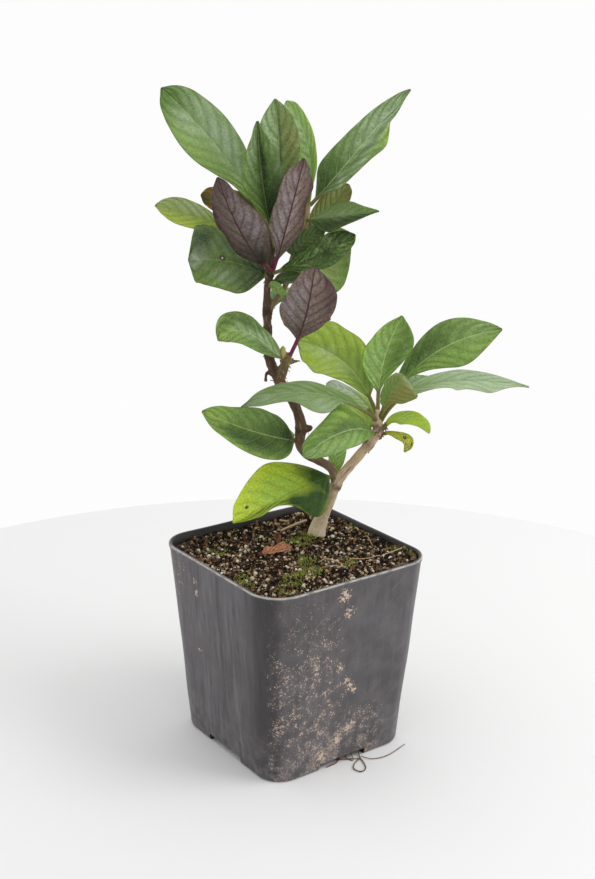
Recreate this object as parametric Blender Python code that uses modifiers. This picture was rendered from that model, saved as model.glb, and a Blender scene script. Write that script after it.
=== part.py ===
"""A young shrub honeysuckle in a square black nursery pot, built as a Blender script.

Metres, +Z up. The origin is the middle of the pot's base, on the surface that it stands on, and the
pot's sides run along X and Y. Sizes are written in millimetres and turned into metres by MM.
The plant has a frame of its own on the same origin, turned PLANT_TURN about Z: there a point is
(to the right, away, up) as the plant is seen from its best side.
"""

import math

import bmesh
import bpy
import numpy as np
from mathutils import Vector
from mathutils.bvhtree import BVHTree

MM = 0.001
GAP = 0.3

# Pot
POT_TOP = 88.2
POT_FOOT = 74.5
POT_HEIGHT = 90.0
POT_CORNER = 14.0
CORNER_STEPS = 7
WALL = 1.3
LIP_OUT = 0.4
LIP_TALL = 2.0
CHANNEL_WIDE = 25.0
CHANNEL_DEEP = 3.2
SLOT_LONG = 18.0
SLOT_WIDE = 4.5
SLOT_FROM_MIDDLE = 30.0
PAD_RADIUS = 9.0
BEYOND = 5.0
ROUND_SIDES = 16

# Soil
SOIL_LEVEL = 85.3
SOIL_SLOPE = 0.03
SOIL_MOUND = 1.5
SOIL_BANK = 2.6
BANK_STEEPNESS = 4
MOUND_SPREAD = 16.0
SOIL_CELLS = 30
CRUMB = 0.9

# Plant
PLANT_TURN = -36.0
TRUNK_AT = (10.0, 24.0)
TRUNK_FOOT = 62.0
TRUNK_FOOT_RADIUS = 4.4
TUBE_SPACING = 5.0
TUBE_STEPS = 2
STALK_HALF = 0.75
BLADE_THICK = 0.7
STALK_THICK = 1.4
TIP_HALF = 0.4
COLUMNS = 4
ROW_CROWDING = 0.08
STATIONS = (0.06, 0.16, 0.3, 0.45, 0.6, 0.75, 0.87, 0.95)
WAVE_TURNS = 13.0
FOOT_FROM = 4.0
FOOT_FAR = 5.0
FOOT_STEP = 0.004

POT_BLACK = ("pot_black", (0.028, 0.028, 0.030), 0.45)
SOIL_BROWN = ("soil_brown", (0.045, 0.028, 0.018), 0.95)
BARK = ("bark", (0.30, 0.19, 0.12), 0.85)
GREEN = ("leaf_green", (0.055, 0.13, 0.035), 0.5)
LIME = ("leaf_lime", (0.20, 0.32, 0.03), 0.5)
GLAUCOUS = ("leaf_glaucous", (0.12, 0.20, 0.12), 0.5)
PURPLE = ("leaf_purple", (0.10, 0.055, 0.06), 0.55)
BRONZE = ("leaf_bronze", (0.20, 0.10, 0.03), 0.55)
DRY = ("dry_leaf", (0.33, 0.13, 0.05), 0.8)


# Tools

def clear_scene():
    for old in list(bpy.data.objects):
        bpy.data.objects.remove(old)


def new_collection(name):
    made = bpy.data.collections.new(name)
    bpy.context.scene.collection.children.link(made)
    return made


def material(look):
    name, colour, roughness = look
    found = bpy.data.materials.get(name)
    if found:
        return found
    made = bpy.data.materials.new(name)
    made.use_nodes = True
    shader = made.node_tree.nodes["Principled BSDF"]
    shader.inputs["Base Color"].default_value = (*colour, 1.0)
    shader.inputs["Roughness"].default_value = roughness
    shader.inputs["Metallic"].default_value = 0.0
    made.diffuse_color = (*colour, 1.0)
    return made


def object_from(mesh, name, collection, look=None):
    made = bpy.data.objects.new(name, mesh)
    collection.objects.link(made)
    if look:
        mesh.materials.append(material(look))
    return made


def as_cutter(piece):
    piece.hide_render = True
    piece.display_type = "WIRE"
    return piece


def boolean(piece, other, operation):
    step = piece.modifiers.new(operation.lower(), "BOOLEAN")
    step.operation = operation
    step.solver = "EXACT"
    step.object = other


def evaluated_mesh(piece):
    bpy.context.view_layer.update()
    graph = bpy.context.evaluated_depsgraph_get()
    return bpy.data.meshes.new_from_object(piece.evaluated_get(graph))


def smooth_path(points, spacing):
    """Points about spacing apart on the Catmull-Rom curve through the given rows of numbers."""
    rows = np.array(points, float)
    ends = np.vstack([2 * rows[0] - rows[1], rows, 2 * rows[-1] - rows[-2]])
    out = []
    for i in range(1, len(ends) - 2):
        a, b, c, d = ends[i - 1:i + 3]
        count = max(1, round(np.linalg.norm((c - b)[:3]) / spacing))
        for k in range(count):
            t = k / count
            out.append(0.5 * (2 * b + (c - a) * t + (2 * a - 5 * b + 4 * c - d) * t * t
                              + (3 * b - a - 3 * c + d) * t ** 3))
    out.append(rows[-1])
    return np.array(out)


def tube(name, points, collection):
    """A round stem as a mesh, through rows of x, y, z and radius in millimetres."""
    line = bpy.data.curves.new(name, "CURVE")
    line.dimensions = "3D"
    line.bevel_depth = MM
    line.bevel_resolution = TUBE_STEPS
    line.use_fill_caps = True
    path = smooth_path(points, TUBE_SPACING)
    spline = line.splines.new("POLY")
    spline.points.add(len(path) - 1)
    for point, (x, y, z, radius) in zip(spline.points, path):
        point.co = (x * MM, y * MM, z * MM, 1.0)
        point.radius = radius
    guide = bpy.data.objects.new(name, line)
    collection.objects.link(guide)
    mesh = evaluated_mesh(guide)
    bpy.data.objects.remove(guide)
    shape = bmesh.new()
    shape.from_mesh(mesh)
    bmesh.ops.remove_doubles(shape, verts=shape.verts, dist=1e-6)
    bmesh.ops.recalc_face_normals(shape, faces=shape.faces)
    shape.to_mesh(mesh)
    shape.free()
    return object_from(mesh, name, collection)


# Pot

def pot_width(z):
    return POT_FOOT + (POT_TOP - POT_FOOT) * z / POT_HEIGHT


def tapered_block(name, low, high, inset, collection):
    """A block with round corners that follows the pot's sides, inset from them, from low to high."""
    shape = bmesh.new()
    bmesh.ops.create_cube(shape, size=1.0)
    upright = [e for e in shape.edges if abs(e.verts[0].co.z - e.verts[1].co.z) > 0.5]
    radius_share = (POT_CORNER - inset) / (POT_TOP - 2 * inset)
    bmesh.ops.bevel(shape, geom=upright, offset=radius_share, segments=CORNER_STEPS,
                    affect="EDGES", profile=0.5)
    for corner in shape.verts:
        z = low if corner.co.z < 0 else high
        width = pot_width(z) - 2 * inset
        corner.co = Vector((corner.co.x * width, corner.co.y * width, z)) * MM
    mesh = bpy.data.meshes.new(name)
    shape.to_mesh(mesh)
    shape.free()
    return object_from(mesh, name, collection)


def box(name, low, high, collection):
    shape = bmesh.new()
    bmesh.ops.create_cube(shape, size=1.0)
    for corner in shape.verts:
        corner.co = Vector([(a if c < 0 else b) * MM for c, a, b in zip(corner.co, low, high)])
    mesh = bpy.data.meshes.new(name)
    shape.to_mesh(mesh)
    shape.free()
    return object_from(mesh, name, collection)


def cylinder(name, radius, low, high, collection):
    shape = bmesh.new()
    bmesh.ops.create_cone(shape, cap_ends=True, segments=ROUND_SIDES, radius1=radius * MM,
                          radius2=radius * MM, depth=(high - low) * MM)
    bmesh.ops.translate(shape, verts=shape.verts, vec=(0, 0, (low + high) / 2 * MM))
    mesh = bpy.data.meshes.new(name)
    shape.to_mesh(mesh)
    shape.free()
    return as_cutter(object_from(mesh, name, collection))


def channel_boxes(name, outset, top, collection):
    """The cross-shaped channel under the pot, outset from its walls and up to top, as two boxes. The round
    pad in the middle is left standing."""
    reach = POT_TOP
    half_wide = CHANNEL_WIDE / 2 + outset
    pad = cylinder(name + "_pad", PAD_RADIUS - outset, -2 * BEYOND, top + BEYOND, collection)
    for turn, low, high in (("x", (-reach, -half_wide, -BEYOND), (reach, half_wide, top)),
                            ("y", (-half_wide, -reach, -BEYOND), (half_wide, reach, top))):
        made = as_cutter(box(f"{name}_{turn}", low, high, collection))
        boolean(made, pad, "DIFFERENCE")
        yield made


def drain_cutters(collection):
    low, high = CHANNEL_DEEP - WALL, CHANNEL_DEEP + 2 * WALL
    for side in range(4):
        along_y = side % 2 == 0
        half_x, half_y = (SLOT_WIDE / 2, SLOT_LONG / 2) if along_y else (SLOT_LONG / 2, SLOT_WIDE / 2)
        x = SLOT_FROM_MIDDLE * (1, 0, -1, 0)[side]
        y = SLOT_FROM_MIDDLE * (0, 1, 0, -1)[side]
        yield as_cutter(box(f"drain_slot_{side + 1}", (x - half_x, y - half_y, low),
                            (x + half_x, y + half_y, high), collection))


def make_pot(parts, cutters):
    pot = tapered_block("pot", 0.0, POT_HEIGHT, 0.0, parts)
    pot.data.materials.append(material(POT_BLACK))
    lip = tapered_block("lip", POT_HEIGHT - LIP_TALL, POT_HEIGHT, -LIP_OUT, cutters)
    boolean(pot, as_cutter(lip), "UNION")
    inside = tapered_block("inside", WALL, POT_HEIGHT + BEYOND, WALL, cutters)
    for ridge in channel_boxes("ridge", WALL, CHANNEL_DEEP + WALL, cutters):
        boolean(inside, ridge, "DIFFERENCE")
    boolean(pot, as_cutter(inside), "DIFFERENCE")
    for channel in channel_boxes("channel", 0.0, CHANNEL_DEEP, cutters):
        boolean(pot, channel, "DIFFERENCE")
    for drain in drain_cutters(cutters):
        boolean(pot, drain, "DIFFERENCE")
    return pot


# Soil

def trunk_foot():
    """The trunk's place on the soil in the pot's frame."""
    turn = math.radians(PLANT_TURN)
    right, away = TRUNK_AT
    return (right * math.cos(turn) - away * math.sin(turn),
            right * math.sin(turn) + away * math.cos(turn))


def crumb_waves():
    """Seeded ripples, from broad lumps to crumbs: wave vector, phase and height for each."""
    draw = np.random.default_rng(7)
    waves = []
    for length, height in ((38.0, 0.5), (21.0, 0.6), (12.0, 0.55), (7.5, 0.5), (6.2, 0.5)):
        for _ in range(4):
            angle, phase = draw.uniform(0.0, 2 * math.pi, 2)
            waves.append((2 * math.pi / length * np.array((math.cos(angle), math.sin(angle))),
                          phase, height * CRUMB / 2))
    return waves


WAVES = crumb_waves()


def soil_height(x, y):
    """The soil's top at a place in the pot's frame: it rises to the right and at the wall, with crumbs."""
    foot_x, foot_y = trunk_foot()
    far = math.hypot(x - foot_x, y - foot_y)
    turn = math.radians(PLANT_TURN)
    right = x * math.cos(turn) + y * math.sin(turn)
    outward = (abs(x) ** BANK_STEEPNESS + abs(y) ** BANK_STEEPNESS) / (POT_TOP / 2) ** BANK_STEEPNESS
    height = SOIL_LEVEL + SOIL_SLOPE * right + SOIL_MOUND * math.exp(-(far / MOUND_SPREAD) ** 2)
    height += SOIL_BANK * min(outward, 1.0)
    for wave, phase, tall in WAVES:
        height += tall * math.sin(wave[0] * x + wave[1] * y + phase)
    return height


def make_soil(parts, cutters):
    shape = bmesh.new()
    half = POT_TOP / 2
    bmesh.ops.create_grid(shape, x_segments=SOIL_CELLS, y_segments=SOIL_CELLS, size=half)
    for point in shape.verts:
        point.co = Vector((point.co.x, point.co.y, soil_height(point.co.x, point.co.y))) * MM
    top = list(shape.faces)
    bmesh.ops.triangulate(shape, faces=top)
    grown = bmesh.ops.extrude_face_region(shape, geom=list(shape.faces))
    for point in grown["geom"]:
        if isinstance(point, bmesh.types.BMVert):
            point.co.z = -BEYOND * MM
    bmesh.ops.recalc_face_normals(shape, faces=shape.faces)
    mesh = bpy.data.meshes.new("soil")
    shape.to_mesh(mesh)
    shape.free()
    soil = object_from(mesh, "soil", parts, SOIL_BROWN)
    fill = tapered_block("soil_fill", WALL + GAP, POT_HEIGHT + BEYOND, WALL + GAP, cutters)
    for ridge in channel_boxes("soil_ridge", WALL + GAP, CHANNEL_DEEP + WALL + GAP, cutters):
        boolean(fill, ridge, "DIFFERENCE")
    boolean(soil, as_cutter(fill), "INTERSECT")
    boolean(soil, trunk_hole(cutters), "DIFFERENCE")
    return soil


def trunk_hole(cutters):
    hole = cylinder("trunk_hole", TRUNK_FOOT_RADIUS + 2 * GAP, TRUNK_FOOT - GAP, POT_HEIGHT + BEYOND,
                    cutters)
    foot_x, foot_y = trunk_foot()
    hole.location = (foot_x * MM, foot_y * MM, 0.0)
    return hole


# Woody stem: rows of right, away, up and radius, in the plant's frame

TRUNK = [
    (10, 24, 62, 4.4), (10, 24, 78, 4.4), (10, 24, 87, 4.1), (12, 24, 94, 3.4), (16, 24, 104, 2.8),
    (19.5, 24, 113, 2.6), (25, 24, 120.5, 2.4), (31, 24, 128, 2.3), (35, 24, 133, 2.2),
    (37.5, 24, 138, 2.5), (37, 24, 143, 1.6), (37, 24, 147, 1.2),
]
BRANCHES = {
    "leader": [
        (19, 24, 110, 2.0), (16.5, 24, 119, 2.1), (10.5, 24, 123, 2.2), (5, 24, 126, 2.3),
        (2, 24, 131, 2.4), (2.5, 24, 138, 2.7), (1.5, 24, 144, 2.4), (-1, 24, 150, 2.4),
        (-5, 24, 156.5, 2.4), (-9, 24, 163, 2.4), (-11.5, 24, 169, 2.3), (-12.3, 24, 175, 1.9),
        (-12.8, 24, 185, 1.8), (-13, 24, 192, 2.1), (-13, 24, 199, 1.6), (-12, 24, 209, 1.9),
        (-11, 25, 218, 1.5), (-11, 26, 226, 1.5), (-11, 27, 232, 1.0),
    ],
    "side_leader": [
        (-13, 24, 190, 1.4), (-9, 24, 197, 1.4), (-5, 25, 203, 1.3), (-3, 26, 210, 1.4),
        (-1, 27, 218, 1.5), (2, 28, 226, 1.4), (4, 29, 233, 1.5), (5, 30, 238, 0.9),
    ],
    "knuckle": [
        (-8, 23, 158, 2.0), (-6.5, 22, 163, 2.3), (-4.8, 21, 169, 2.2), (-3.4, 20.5, 172, 1.6),
        (-3, 20, 174, 0.9),
    ],
    "knuckle_bud": [(-5, 21, 170, 1.2), (-6, 20.5, 174.5, 1.5), (-5.8, 20, 177, 0.7)],
    "knuckle_spur": [(-4, 20.5, 169, 1.2), (-1, 20, 170, 0.8), (2, 19.5, 170.3, 0.4)],
    "dead_twig": [(-9, 24, 162, 1.0), (-13, 23, 164, 0.8), (-13.5, 22.5, 160, 0.8)],
    "rosette_bud": [(37, 24, 138, 1.5), (39.5, 23.5, 139, 1.3), (41, 23, 139.5, 1.1)],
    "old_scar": [(3, 24, 137.5, 1.8), (6, 23, 138.5, 1.6), (7.2, 22.5, 139.5, 1.1)],
}


def make_woody_stem(parts, frame):
    pieces = new_collection("stem_pieces")
    stem = tube("woody_stem", TRUNK, parts)
    for name, rows in BRANCHES.items():
        tube(name, rows, pieces)
    join = stem.modifiers.new("join", "BOOLEAN")
    join.operation = "UNION"
    join.operand_type = "COLLECTION"
    join.collection = pieces
    join.solver = "EXACT"
    stem.data = evaluated_mesh(stem)
    stem.modifiers.clear()
    stem.data.materials.append(material(BARK))
    for piece in list(pieces.objects):
        bpy.data.objects.remove(piece)
    bpy.data.collections.remove(pieces)
    stem.parent = frame
    return stem


# Leaves

def leaf(name, look, path, face, left, right, stalk=0.12, fold=10.0, wave=0.5, rows=12):
    """One leaf: its midrib's points from stem to tip in the plant's frame, the way its upper face
    looks, the blade's half-breadths to the left and to the right of the midrib at each of STATIONS, the
    share of the leaf's length that is bare stalk, how far each half folds up in degrees, the edge's wave
    in millimetres, and the rows of faces along it."""
    return dict(name=name, look=look, path=path, face=face, left=left, right=right, stalk=stalk,
                fold=fold, wave=wave, rows=rows, half=max(*left, *right))


LEAVES = [
    leaf("leaf_crown_purple_left", PURPLE, [(-12, 22, 211), (-21.2, 10, 224.4), (-33.1, 6.5, 251.1)],
         (0.3, 0.92, 0.2), (3.26, 6.51, 9.49, 11.16, 9.77, 6.7, 4.46, 2.79),
         (4.65, 7.44, 8.93, 8.74, 10.04, 8.46, 6.04, 3.35), stalk=0.08),
    leaf("leaf_crown_purple_right", PURPLE, [(-10, 23, 212), (-2.8, 13, 238.4), (2.4, 10, 258.9)],
         (-0.35, 0.9, 0.1), (3.6, 6.6, 8.8, 8.1, 7.3, 8.6, 5.2, 2.9),
         (1.2, 3.6, 7, 7.2, 6.8, 6.8, 5.3, 2), stalk=0.08, fold=14),
    leaf("leaf_crown_upper_left", GREEN,
         [(-12.5, 27.5, 227), (-25.1, 33, 248.3), (-36.5, 37, 262.8), (-59.1, 38, 285.6)],
         (0.3, -0.9, 0.35), (3, 4.8, 9.1, 12.9, 13.8, 11.9, 8.9, 5.4),
         (1, 4.4, 9, 10.7, 11.5, 10.4, 8.2, 4.6), stalk=0.18, rows=14),
    leaf("leaf_crown_front_tall", GREEN, [(-11, 23.5, 226), (-15.8, 24, 252.6), (-17.3, 24, 272.9)],
         (0, -1, 0.1), (0.8, 3.6, 7.5, 9.6, 7.6, 5.8, 3, 1.7), (0.8, 3.2, 7.5, 10.5, 10.3, 7.1, 4, 1.4),
         stalk=0.05, fold=32),
    leaf("leaf_crown_back_tall", GREEN, [(-10, 29, 231), (-8.3, 33, 260.4), (-10.1, 31, 281.7)],
         (0.1, -1, 0.1), (0.8, 3.3, 6.5, 8.3, 9.1, 8.7, 6.3, 3), (0.8, 2.4, 5.8, 8.4, 9.2, 8.2, 6, 3),
         stalk=0.05, fold=15),
    leaf("leaf_crown_back_turned", GREEN, [(3.5, 31.5, 235), (4.3, 38, 261), (-5.5, 40, 280.6)],
         (-0.4, -0.9, 0.2), (0.8, 2.2, 5, 6.8, 7.4, 6.8, 5.5, 4.1),
         (0.8, 1.7, 3, 3.7, 4.4, 4.3, 3.9, 2.9), fold=8),
    leaf("leaf_crown_upper_right", GREEN,
         [(5.5, 29.5, 238), (18, 27, 252.3), (31.4, 28, 268.6), (46.4, 22, 286.4)], (-0.4, -0.8, 0.4),
         (3.6, 8.2, 9.7, 9.2, 7.6, 5.9, 3.9, 2.1), (1.5, 5.4, 7.1, 8.9, 10.6, 4.6, 2.9, 1.2),
         stalk=0.05, rows=14),
    leaf("leaf_crown_small_left", LIME,
         [(-12, 26, 222), (-40.6, 34.5, 229.9), (-52.5, 35.5, 233.2), (-62.3, 34, 236.2)],
         (0, -0.6, 0.8), (0.8, 1.2, 4.3, 7.9, 9, 8.2, 5.9, 3.2),
         (0.8, 0.9, 2.8, 5.7, 7.8, 8.4, 6.2, 3.3), stalk=0.25),
    leaf("leaf_crown_broad_left", GREEN, [(-12, 22.5, 206.9), (-27.9, 15, 214.6), (-46.6, 13.5, 215.5)],
         (-0.15, -0.8, 0.55), (4.5, 9.4, 12.4, 12.6, 12.3, 11.5, 10.2, 8.2),
         (4, 7.2, 10.6, 13.8, 16.3, 19.4, 19.6, 16), stalk=0.04, fold=-14),
    leaf("leaf_crown_bronze_left", BRONZE, [(-11, 29, 223), (-27, 39, 235), (-43, 42, 240)],
         (0.2, -0.8, 0.4), (3, 4.9, 6.3, 6.9, 6.9, 6.2, 4.8, 3.1),
         (3, 4.9, 6.3, 6.9, 6.9, 6.2, 4.8, 3.1), stalk=0.2),
    leaf("leaf_crown_folded_right", GREEN, [(4, 27, 231.7), (18.1, 17.5, 234.3), (34.4, 14, 237)],
         (0.05, -0.8, 0.6), (4.5, 9, 12.4, 12.4, 10.2, 6.8, 4.2, 2.2),
         (2.5, 4.8, 6.2, 5.2, 3.7, 2.3, 1.2, 0.6), stalk=0.05, fold=-26),
    leaf("leaf_crown_blistered_right", GREEN, [(-12, 23.5, 208.5), (8.9, 16.3, 217.8), (24.7, 19, 226.5)],
         (-0.25, -0.85, 0.5), (1.7, 2.7, 4.7, 5.6, 6.6, 6.4, 5.6, 3.6),
         (1.3, 2.3, 4.3, 6.8, 7.8, 6.1, 4.7, 2.9), fold=6, wave=0.8),
    leaf("leaf_crown_pale_right", GREEN, [(-3, 26, 208), (9.2, 33, 212.1), (23, 31, 225.7)],
         (0.3, 0.85, -0.3), (5, 10.8, 15.6, 15.3, 12, 8.2, 5, 2.7),
         (3, 5.4, 7.4, 8.5, 8.8, 8.1, 6.7, 4.2)),
    leaf("leaf_crown_bronze_right", BRONZE, [(3.4, 28, 225.8), (14.2, 35, 236), (22.2, 38, 245.8)],
         (0.2, -0.8, 0.4), (2.6, 4.2, 5.4, 5.9, 5.9, 5.3, 4.1, 2.7),
         (2.6, 4.2, 5.4, 5.9, 5.9, 5.3, 4.1, 2.7)),
    leaf("leaf_crown_inner_young", GREEN, [(-1.4, 25, 212.6), (2, 23, 221.5), (11.9, 23.4, 227.2)],
         (-0.3, -0.8, 0.3), (4.6, 6, 6, 5, 4, 3.6, 3, 1.8),
         (2, 3.4, 4.6, 5.2, 5.2, 4.6, 3.2, 1.8), rows=9),
    leaf("leaf_crown_drooping_small", GREEN, [(-12.4, 22.8, 203.2), (-10.3, 17.5, 204.4), (-4.6, 13.5, 200)],
         (-0.4, -0.8, 0.3), (0.8, 1.3, 1.9, 2.2, 2.2, 1.8, 1.3, 0.7),
         (0.8, 1.3, 1.9, 2.2, 2.2, 1.8, 1.3, 0.7), rows=9),
    leaf("leaf_crown_under_right", GREEN, [(-12, 24, 204.5), (-5.6, 20.2, 207), (2.2, 19.6, 208.5)],
         (0, -0.6, 0.8), (1.4, 2.7, 3.9, 4.4, 4.4, 3.8, 2.7, 1.5),
         (1.4, 2.7, 3.9, 4.4, 4.4, 3.8, 2.7, 1.5), rows=9),
    leaf("leaf_shoot_purple", PURPLE, [(-3, 20, 172), (2, 17, 184.8), (4.8, 9.5, 196.9), (7.6, 9, 213.8)],
         (-0.1, 0.8, -0.2), (2.6, 6.6, 9.7, 12.1, 12.4, 11.4, 8.6, 4.4),
         (4, 8.4, 11.1, 11.7, 10.2, 8.9, 6.6, 4), stalk=0.2, rows=13),
    leaf("leaf_shoot_left", GREEN,
         [(-4.5, 21, 171), (-13.7, 15, 178.9), (-25.2, 11, 185.8), (-33.9, 11, 180.9)],
         (0.1, -0.75, 0.65), (1.7, 3.1, 5.2, 6.6, 7.4, 7, 5.2, 3),
         (2.5, 4.3, 5.4, 5.8, 7.8, 9, 7.7, 3.9), stalk=0.08),
    leaf("leaf_low_left", GREEN, [(2, 24, 132), (-18.9, 14, 139.5), (-41.3, 12, 149.1)], (0.1, -0.75, 0.65),
         (6, 10.8, 12.6, 12.1, 10.7, 7.9, 5.4, 2.5), (5.5, 9.6, 11, 11, 9.6, 7.4, 5.5, 3), stalk=0.06),
    leaf("leaf_low_yellow", LIME, [(18, 22.5, 117), (-2.2, 10, 111.9), (-27.5, 4, 99.6)],
         (-0.2, -0.8, 0.55), (5.5, 12.4, 14.8, 6, 2.8, 3.5, 2.5, 1.3),
         (6, 12.8, 18.2, 20, 18.9, 15.6, 10.9, 6.7), stalk=0.05, fold=-14, wave=1, rows=14),
    leaf("leaf_low_small", GREEN, [(18.5, 26, 113), (19, 29.5, 122), (22, 31, 131)], (-0.3, -0.9, 0.3),
         (1.3, 2.5, 3.6, 4.1, 4.1, 3.5, 2.5, 1.4), (1.3, 2.5, 3.6, 4.1, 4.1, 3.5, 2.5, 1.4), rows=9),
    leaf("leaf_rosette_lime_left", LIME, [(37, 25.4, 143.5), (21.3, 35, 166.4), (0.3, 34, 176.2)],
         (0.1, -0.8, 0.6), (2.9, 5.1, 7.4, 10.1, 11.9, 13.3, 10.5, 7.9),
         (4, 6.4, 10.6, 13.4, 13.7, 14, 9.5, 5), stalk=0.18),
    leaf("leaf_rosette_upright", GREEN, [(37, 24.5, 146), (39.4, 29, 168.9), (46.8, 28, 189.3)],
         (-0.1, -0.9, 0.4), (3, 6, 9.2, 10, 8.2, 6.2, 3.8, 1.6),
         (1.5, 3.2, 6, 8.7, 10.6, 10.6, 8.3, 4.6), stalk=0.2),
    leaf("leaf_rosette_upper_right", GREEN, [(38, 25, 143), (60.4, 33, 170), (91.3, 27, 184)],
         (-0.2, -0.75, 0.65), (2.2, 4.6, 7.3, 10.1, 11.3, 9.5, 5.8, 2.9),
         (0.8, 1.6, 5, 9.9, 13.6, 13.2, 9.2, 4.6), stalk=0.18, rows=14),
    leaf("leaf_rosette_long_right", GLAUCOUS,
         [(38, 24, 141.5), (50.7, 19, 157.3), (71.7, 12, 164.3), (101, 6, 163.2)], (0, -0.45, 0.89),
         (1.5, 4.5, 6.5, 6.4, 4.8, 3.9, 2.5, 1), (1.5, 4, 5.5, 7.2, 7.4, 6.5, 2.6, 0.8), stalk=0.2,
         wave=1, rows=15),
    leaf("leaf_rosette_young_front", BRONZE, [(38.1, 21.7, 145.3), (41.9, 14, 157.6), (46.9, 9, 167)],
         (-0.3, -0.9, 0.1), (2, 2.8, 3.7, 4.2, 4.7, 4.5, 3.9, 2.8),
         (1.5, 2.3, 4, 7, 8.9, 10.4, 10.9, 9), stalk=0.2, fold=12),
    leaf("leaf_rosette_long_left", GLAUCOUS,
         [(37, 23, 143), (16.8, 13, 155.8), (-1.7, 9, 158.9), (-23.9, 8, 152.2)], (0, -0.55, 0.83),
         (0.8, 1.8, 10.5, 12.5, 7.2, 5.9, 4.3, 1.8), (3.4, 4.4, 4.9, 5.7, 5.6, 4.9, 3, 0.9), stalk=0.18,
         wave=1.2, rows=15),
    leaf("leaf_rosette_back_left", GLAUCOUS, [(37, 24.4, 139.5), (24.3, 25.5, 155.4), (13.5, 27, 158)],
         (0.1, -0.75, 0.65), (3.1, 3.9, 4.6, 5.1, 5, 4.6, 3.6, 2.8),
         (0.8, 0.9, 1.2, 1.6, 2, 2.4, 2.6, 1.7), stalk=0.25),
    leaf("leaf_rosette_front", GREEN, [(37, 23, 136), (21.8, 8, 141.7), (3.4, 2, 131.4)], (-0.2, -0.7, 0.7),
         (3, 5.8, 8.2, 10.2, 10.3, 9.4, 6.3, 3.7), (5.5, 10.8, 14, 11.7, 9.1, 7.3, 5.9, 3.9),
         stalk=0.08, rows=13),
    leaf("leaf_rosette_small_right", LIME, [(38, 22.5, 138.5), (51.5, 18, 145.1), (60.1, 17, 138.5)],
         (0.1, -0.7, 0.7), (1.6, 2.4, 3.2, 3.6, 3.5, 3.4, 3.4, 2.2),
         (0.8, 1.5, 3.6, 4.2, 3.7, 2.5, 1.7, 1.1), stalk=0.1, rows=10),
    leaf("leaf_rosette_curled", LIME,
         [(39, 23.5, 135.5), (48.1, 22, 136), (51.7, 21, 133.5), (49.1, 20, 128.6)], (0.3, -0.7, 0.6),
         (0.8, 0.8, 1.2, 1.8, 1.9, 1.4, 1.2, 0.7), (0.9, 1.7, 3, 3.8, 4.2, 3.9, 3.2, 1.8), rows=10),
    leaf("leaf_rear_crown_left", GREEN, [(-12.5, 26.5, 208.5), (-24, 44, 214), (-36, 61, 214)],
         (-0.1, 0.1, 1), (4.3, 7, 9, 9.9, 9.9, 8.8, 6.9, 4.5), (4.3, 7, 9, 9.9, 9.9, 8.8, 6.9, 4.5),
         stalk=0.1, rows=10),
    leaf("leaf_rear_crown_middle", GREEN, [(-10.5, 28, 219), (-9.5, 45, 229), (-9, 62, 232)],
         (-0.1, -0.1, 1), (3.4, 6.2, 8.4, 9.4, 9.2, 7.8, 5.5, 3),
         (3.4, 6.2, 8.4, 9.4, 9.2, 7.8, 5.5, 3), rows=10),
    leaf("leaf_rear_crown_right", GREEN, [(2.5, 30, 226), (12, 46, 229.5), (21, 61, 228.5)], (0.1, 0, 1),
         (2.3, 4.5, 6.4, 7.4, 7.4, 6.3, 4.4, 2.4), (2.3, 4.5, 6.4, 7.4, 7.4, 6.3, 4.4, 2.4), stalk=0.1,
         rows=10),
    leaf("leaf_rear_shoot", GREEN, [(-11.5, 26, 170), (-20.1, 38, 177.4), (-26.1, 50, 176.1)], (0, 0.1, 1),
         (3, 4.9, 6.3, 6.9, 6.9, 6.2, 4.8, 3.1), (3, 4.9, 6.3, 6.9, 6.9, 6.2, 4.8, 3.1), rows=10),
    leaf("leaf_rear_shoot_right", GREEN, [(-12, 26, 192), (-4, 42, 197), (4, 56, 195)], (0, 0.1, 1),
         (2.9, 5.2, 7, 7.9, 7.9, 6.9, 5.1, 3), (2.9, 5.2, 7, 7.9, 7.9, 6.9, 5.1, 3), rows=10),
    leaf("leaf_rear_low", GREEN, [(2, 27, 131), (-11, 40, 133), (-24, 52, 130)], (0, 0.2, 1),
         (2.8, 4.9, 6.6, 7.4, 7.4, 6.4, 4.8, 2.9), (2.8, 4.9, 6.6, 7.4, 7.4, 6.4, 4.8, 2.9), rows=10),
    leaf("leaf_rear_rosette_left", LIME, [(35, 26.5, 134.5), (29, 42, 144), (21, 57, 148)], (0, 0.1, 1),
         (3.5, 5.6, 7.2, 7.9, 7.9, 7, 5.5, 3.6), (3.5, 5.6, 7.2, 7.9, 7.9, 7, 5.5, 3.6), rows=10),
    leaf("leaf_rear_rosette_right", GREEN, [(38.5, 26, 142), (49, 42, 153), (61, 57, 155)], (0, 0.1, 1),
         (2.4, 5.1, 7.7, 9.2, 9.4, 8.2, 5.9, 3.3), (2.4, 5.1, 7.7, 9.2, 9.4, 8.2, 5.9, 3.3), rows=10),
]


# Two dry leaves that lie on the soil, with their midribs' heights counted from its surface

DRY_LEAVES = [
    leaf("dry_leaf_front", DRY, [(-16, 1, 2.2), (-9, 4, 2.6), (-1, 5, 3.6)], (0.1, -0.3, 1),
         (1.1, 2.4, 3.2, 2.6, 3, 3.2, 2.2, 1.2), (1, 1.8, 2.9, 3.4, 3.1, 2.5, 2.2, 1.3), stalk=0.1,
         fold=24, rows=8),
    leaf("dry_leaf_back", DRY, [(-9, 12, 2), (-7.5, 10.5, 5), (-8, 9, 8)], (-0.3, -0.8, 0.4),
         (0.8, 1.3, 1.9, 2.2, 2.1, 1.8, 1.4, 0.8), (0.8, 1.5, 2, 2.1, 2.2, 1.7, 1.3, 0.8), stalk=0.1,
         fold=20, rows=8),
]


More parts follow.
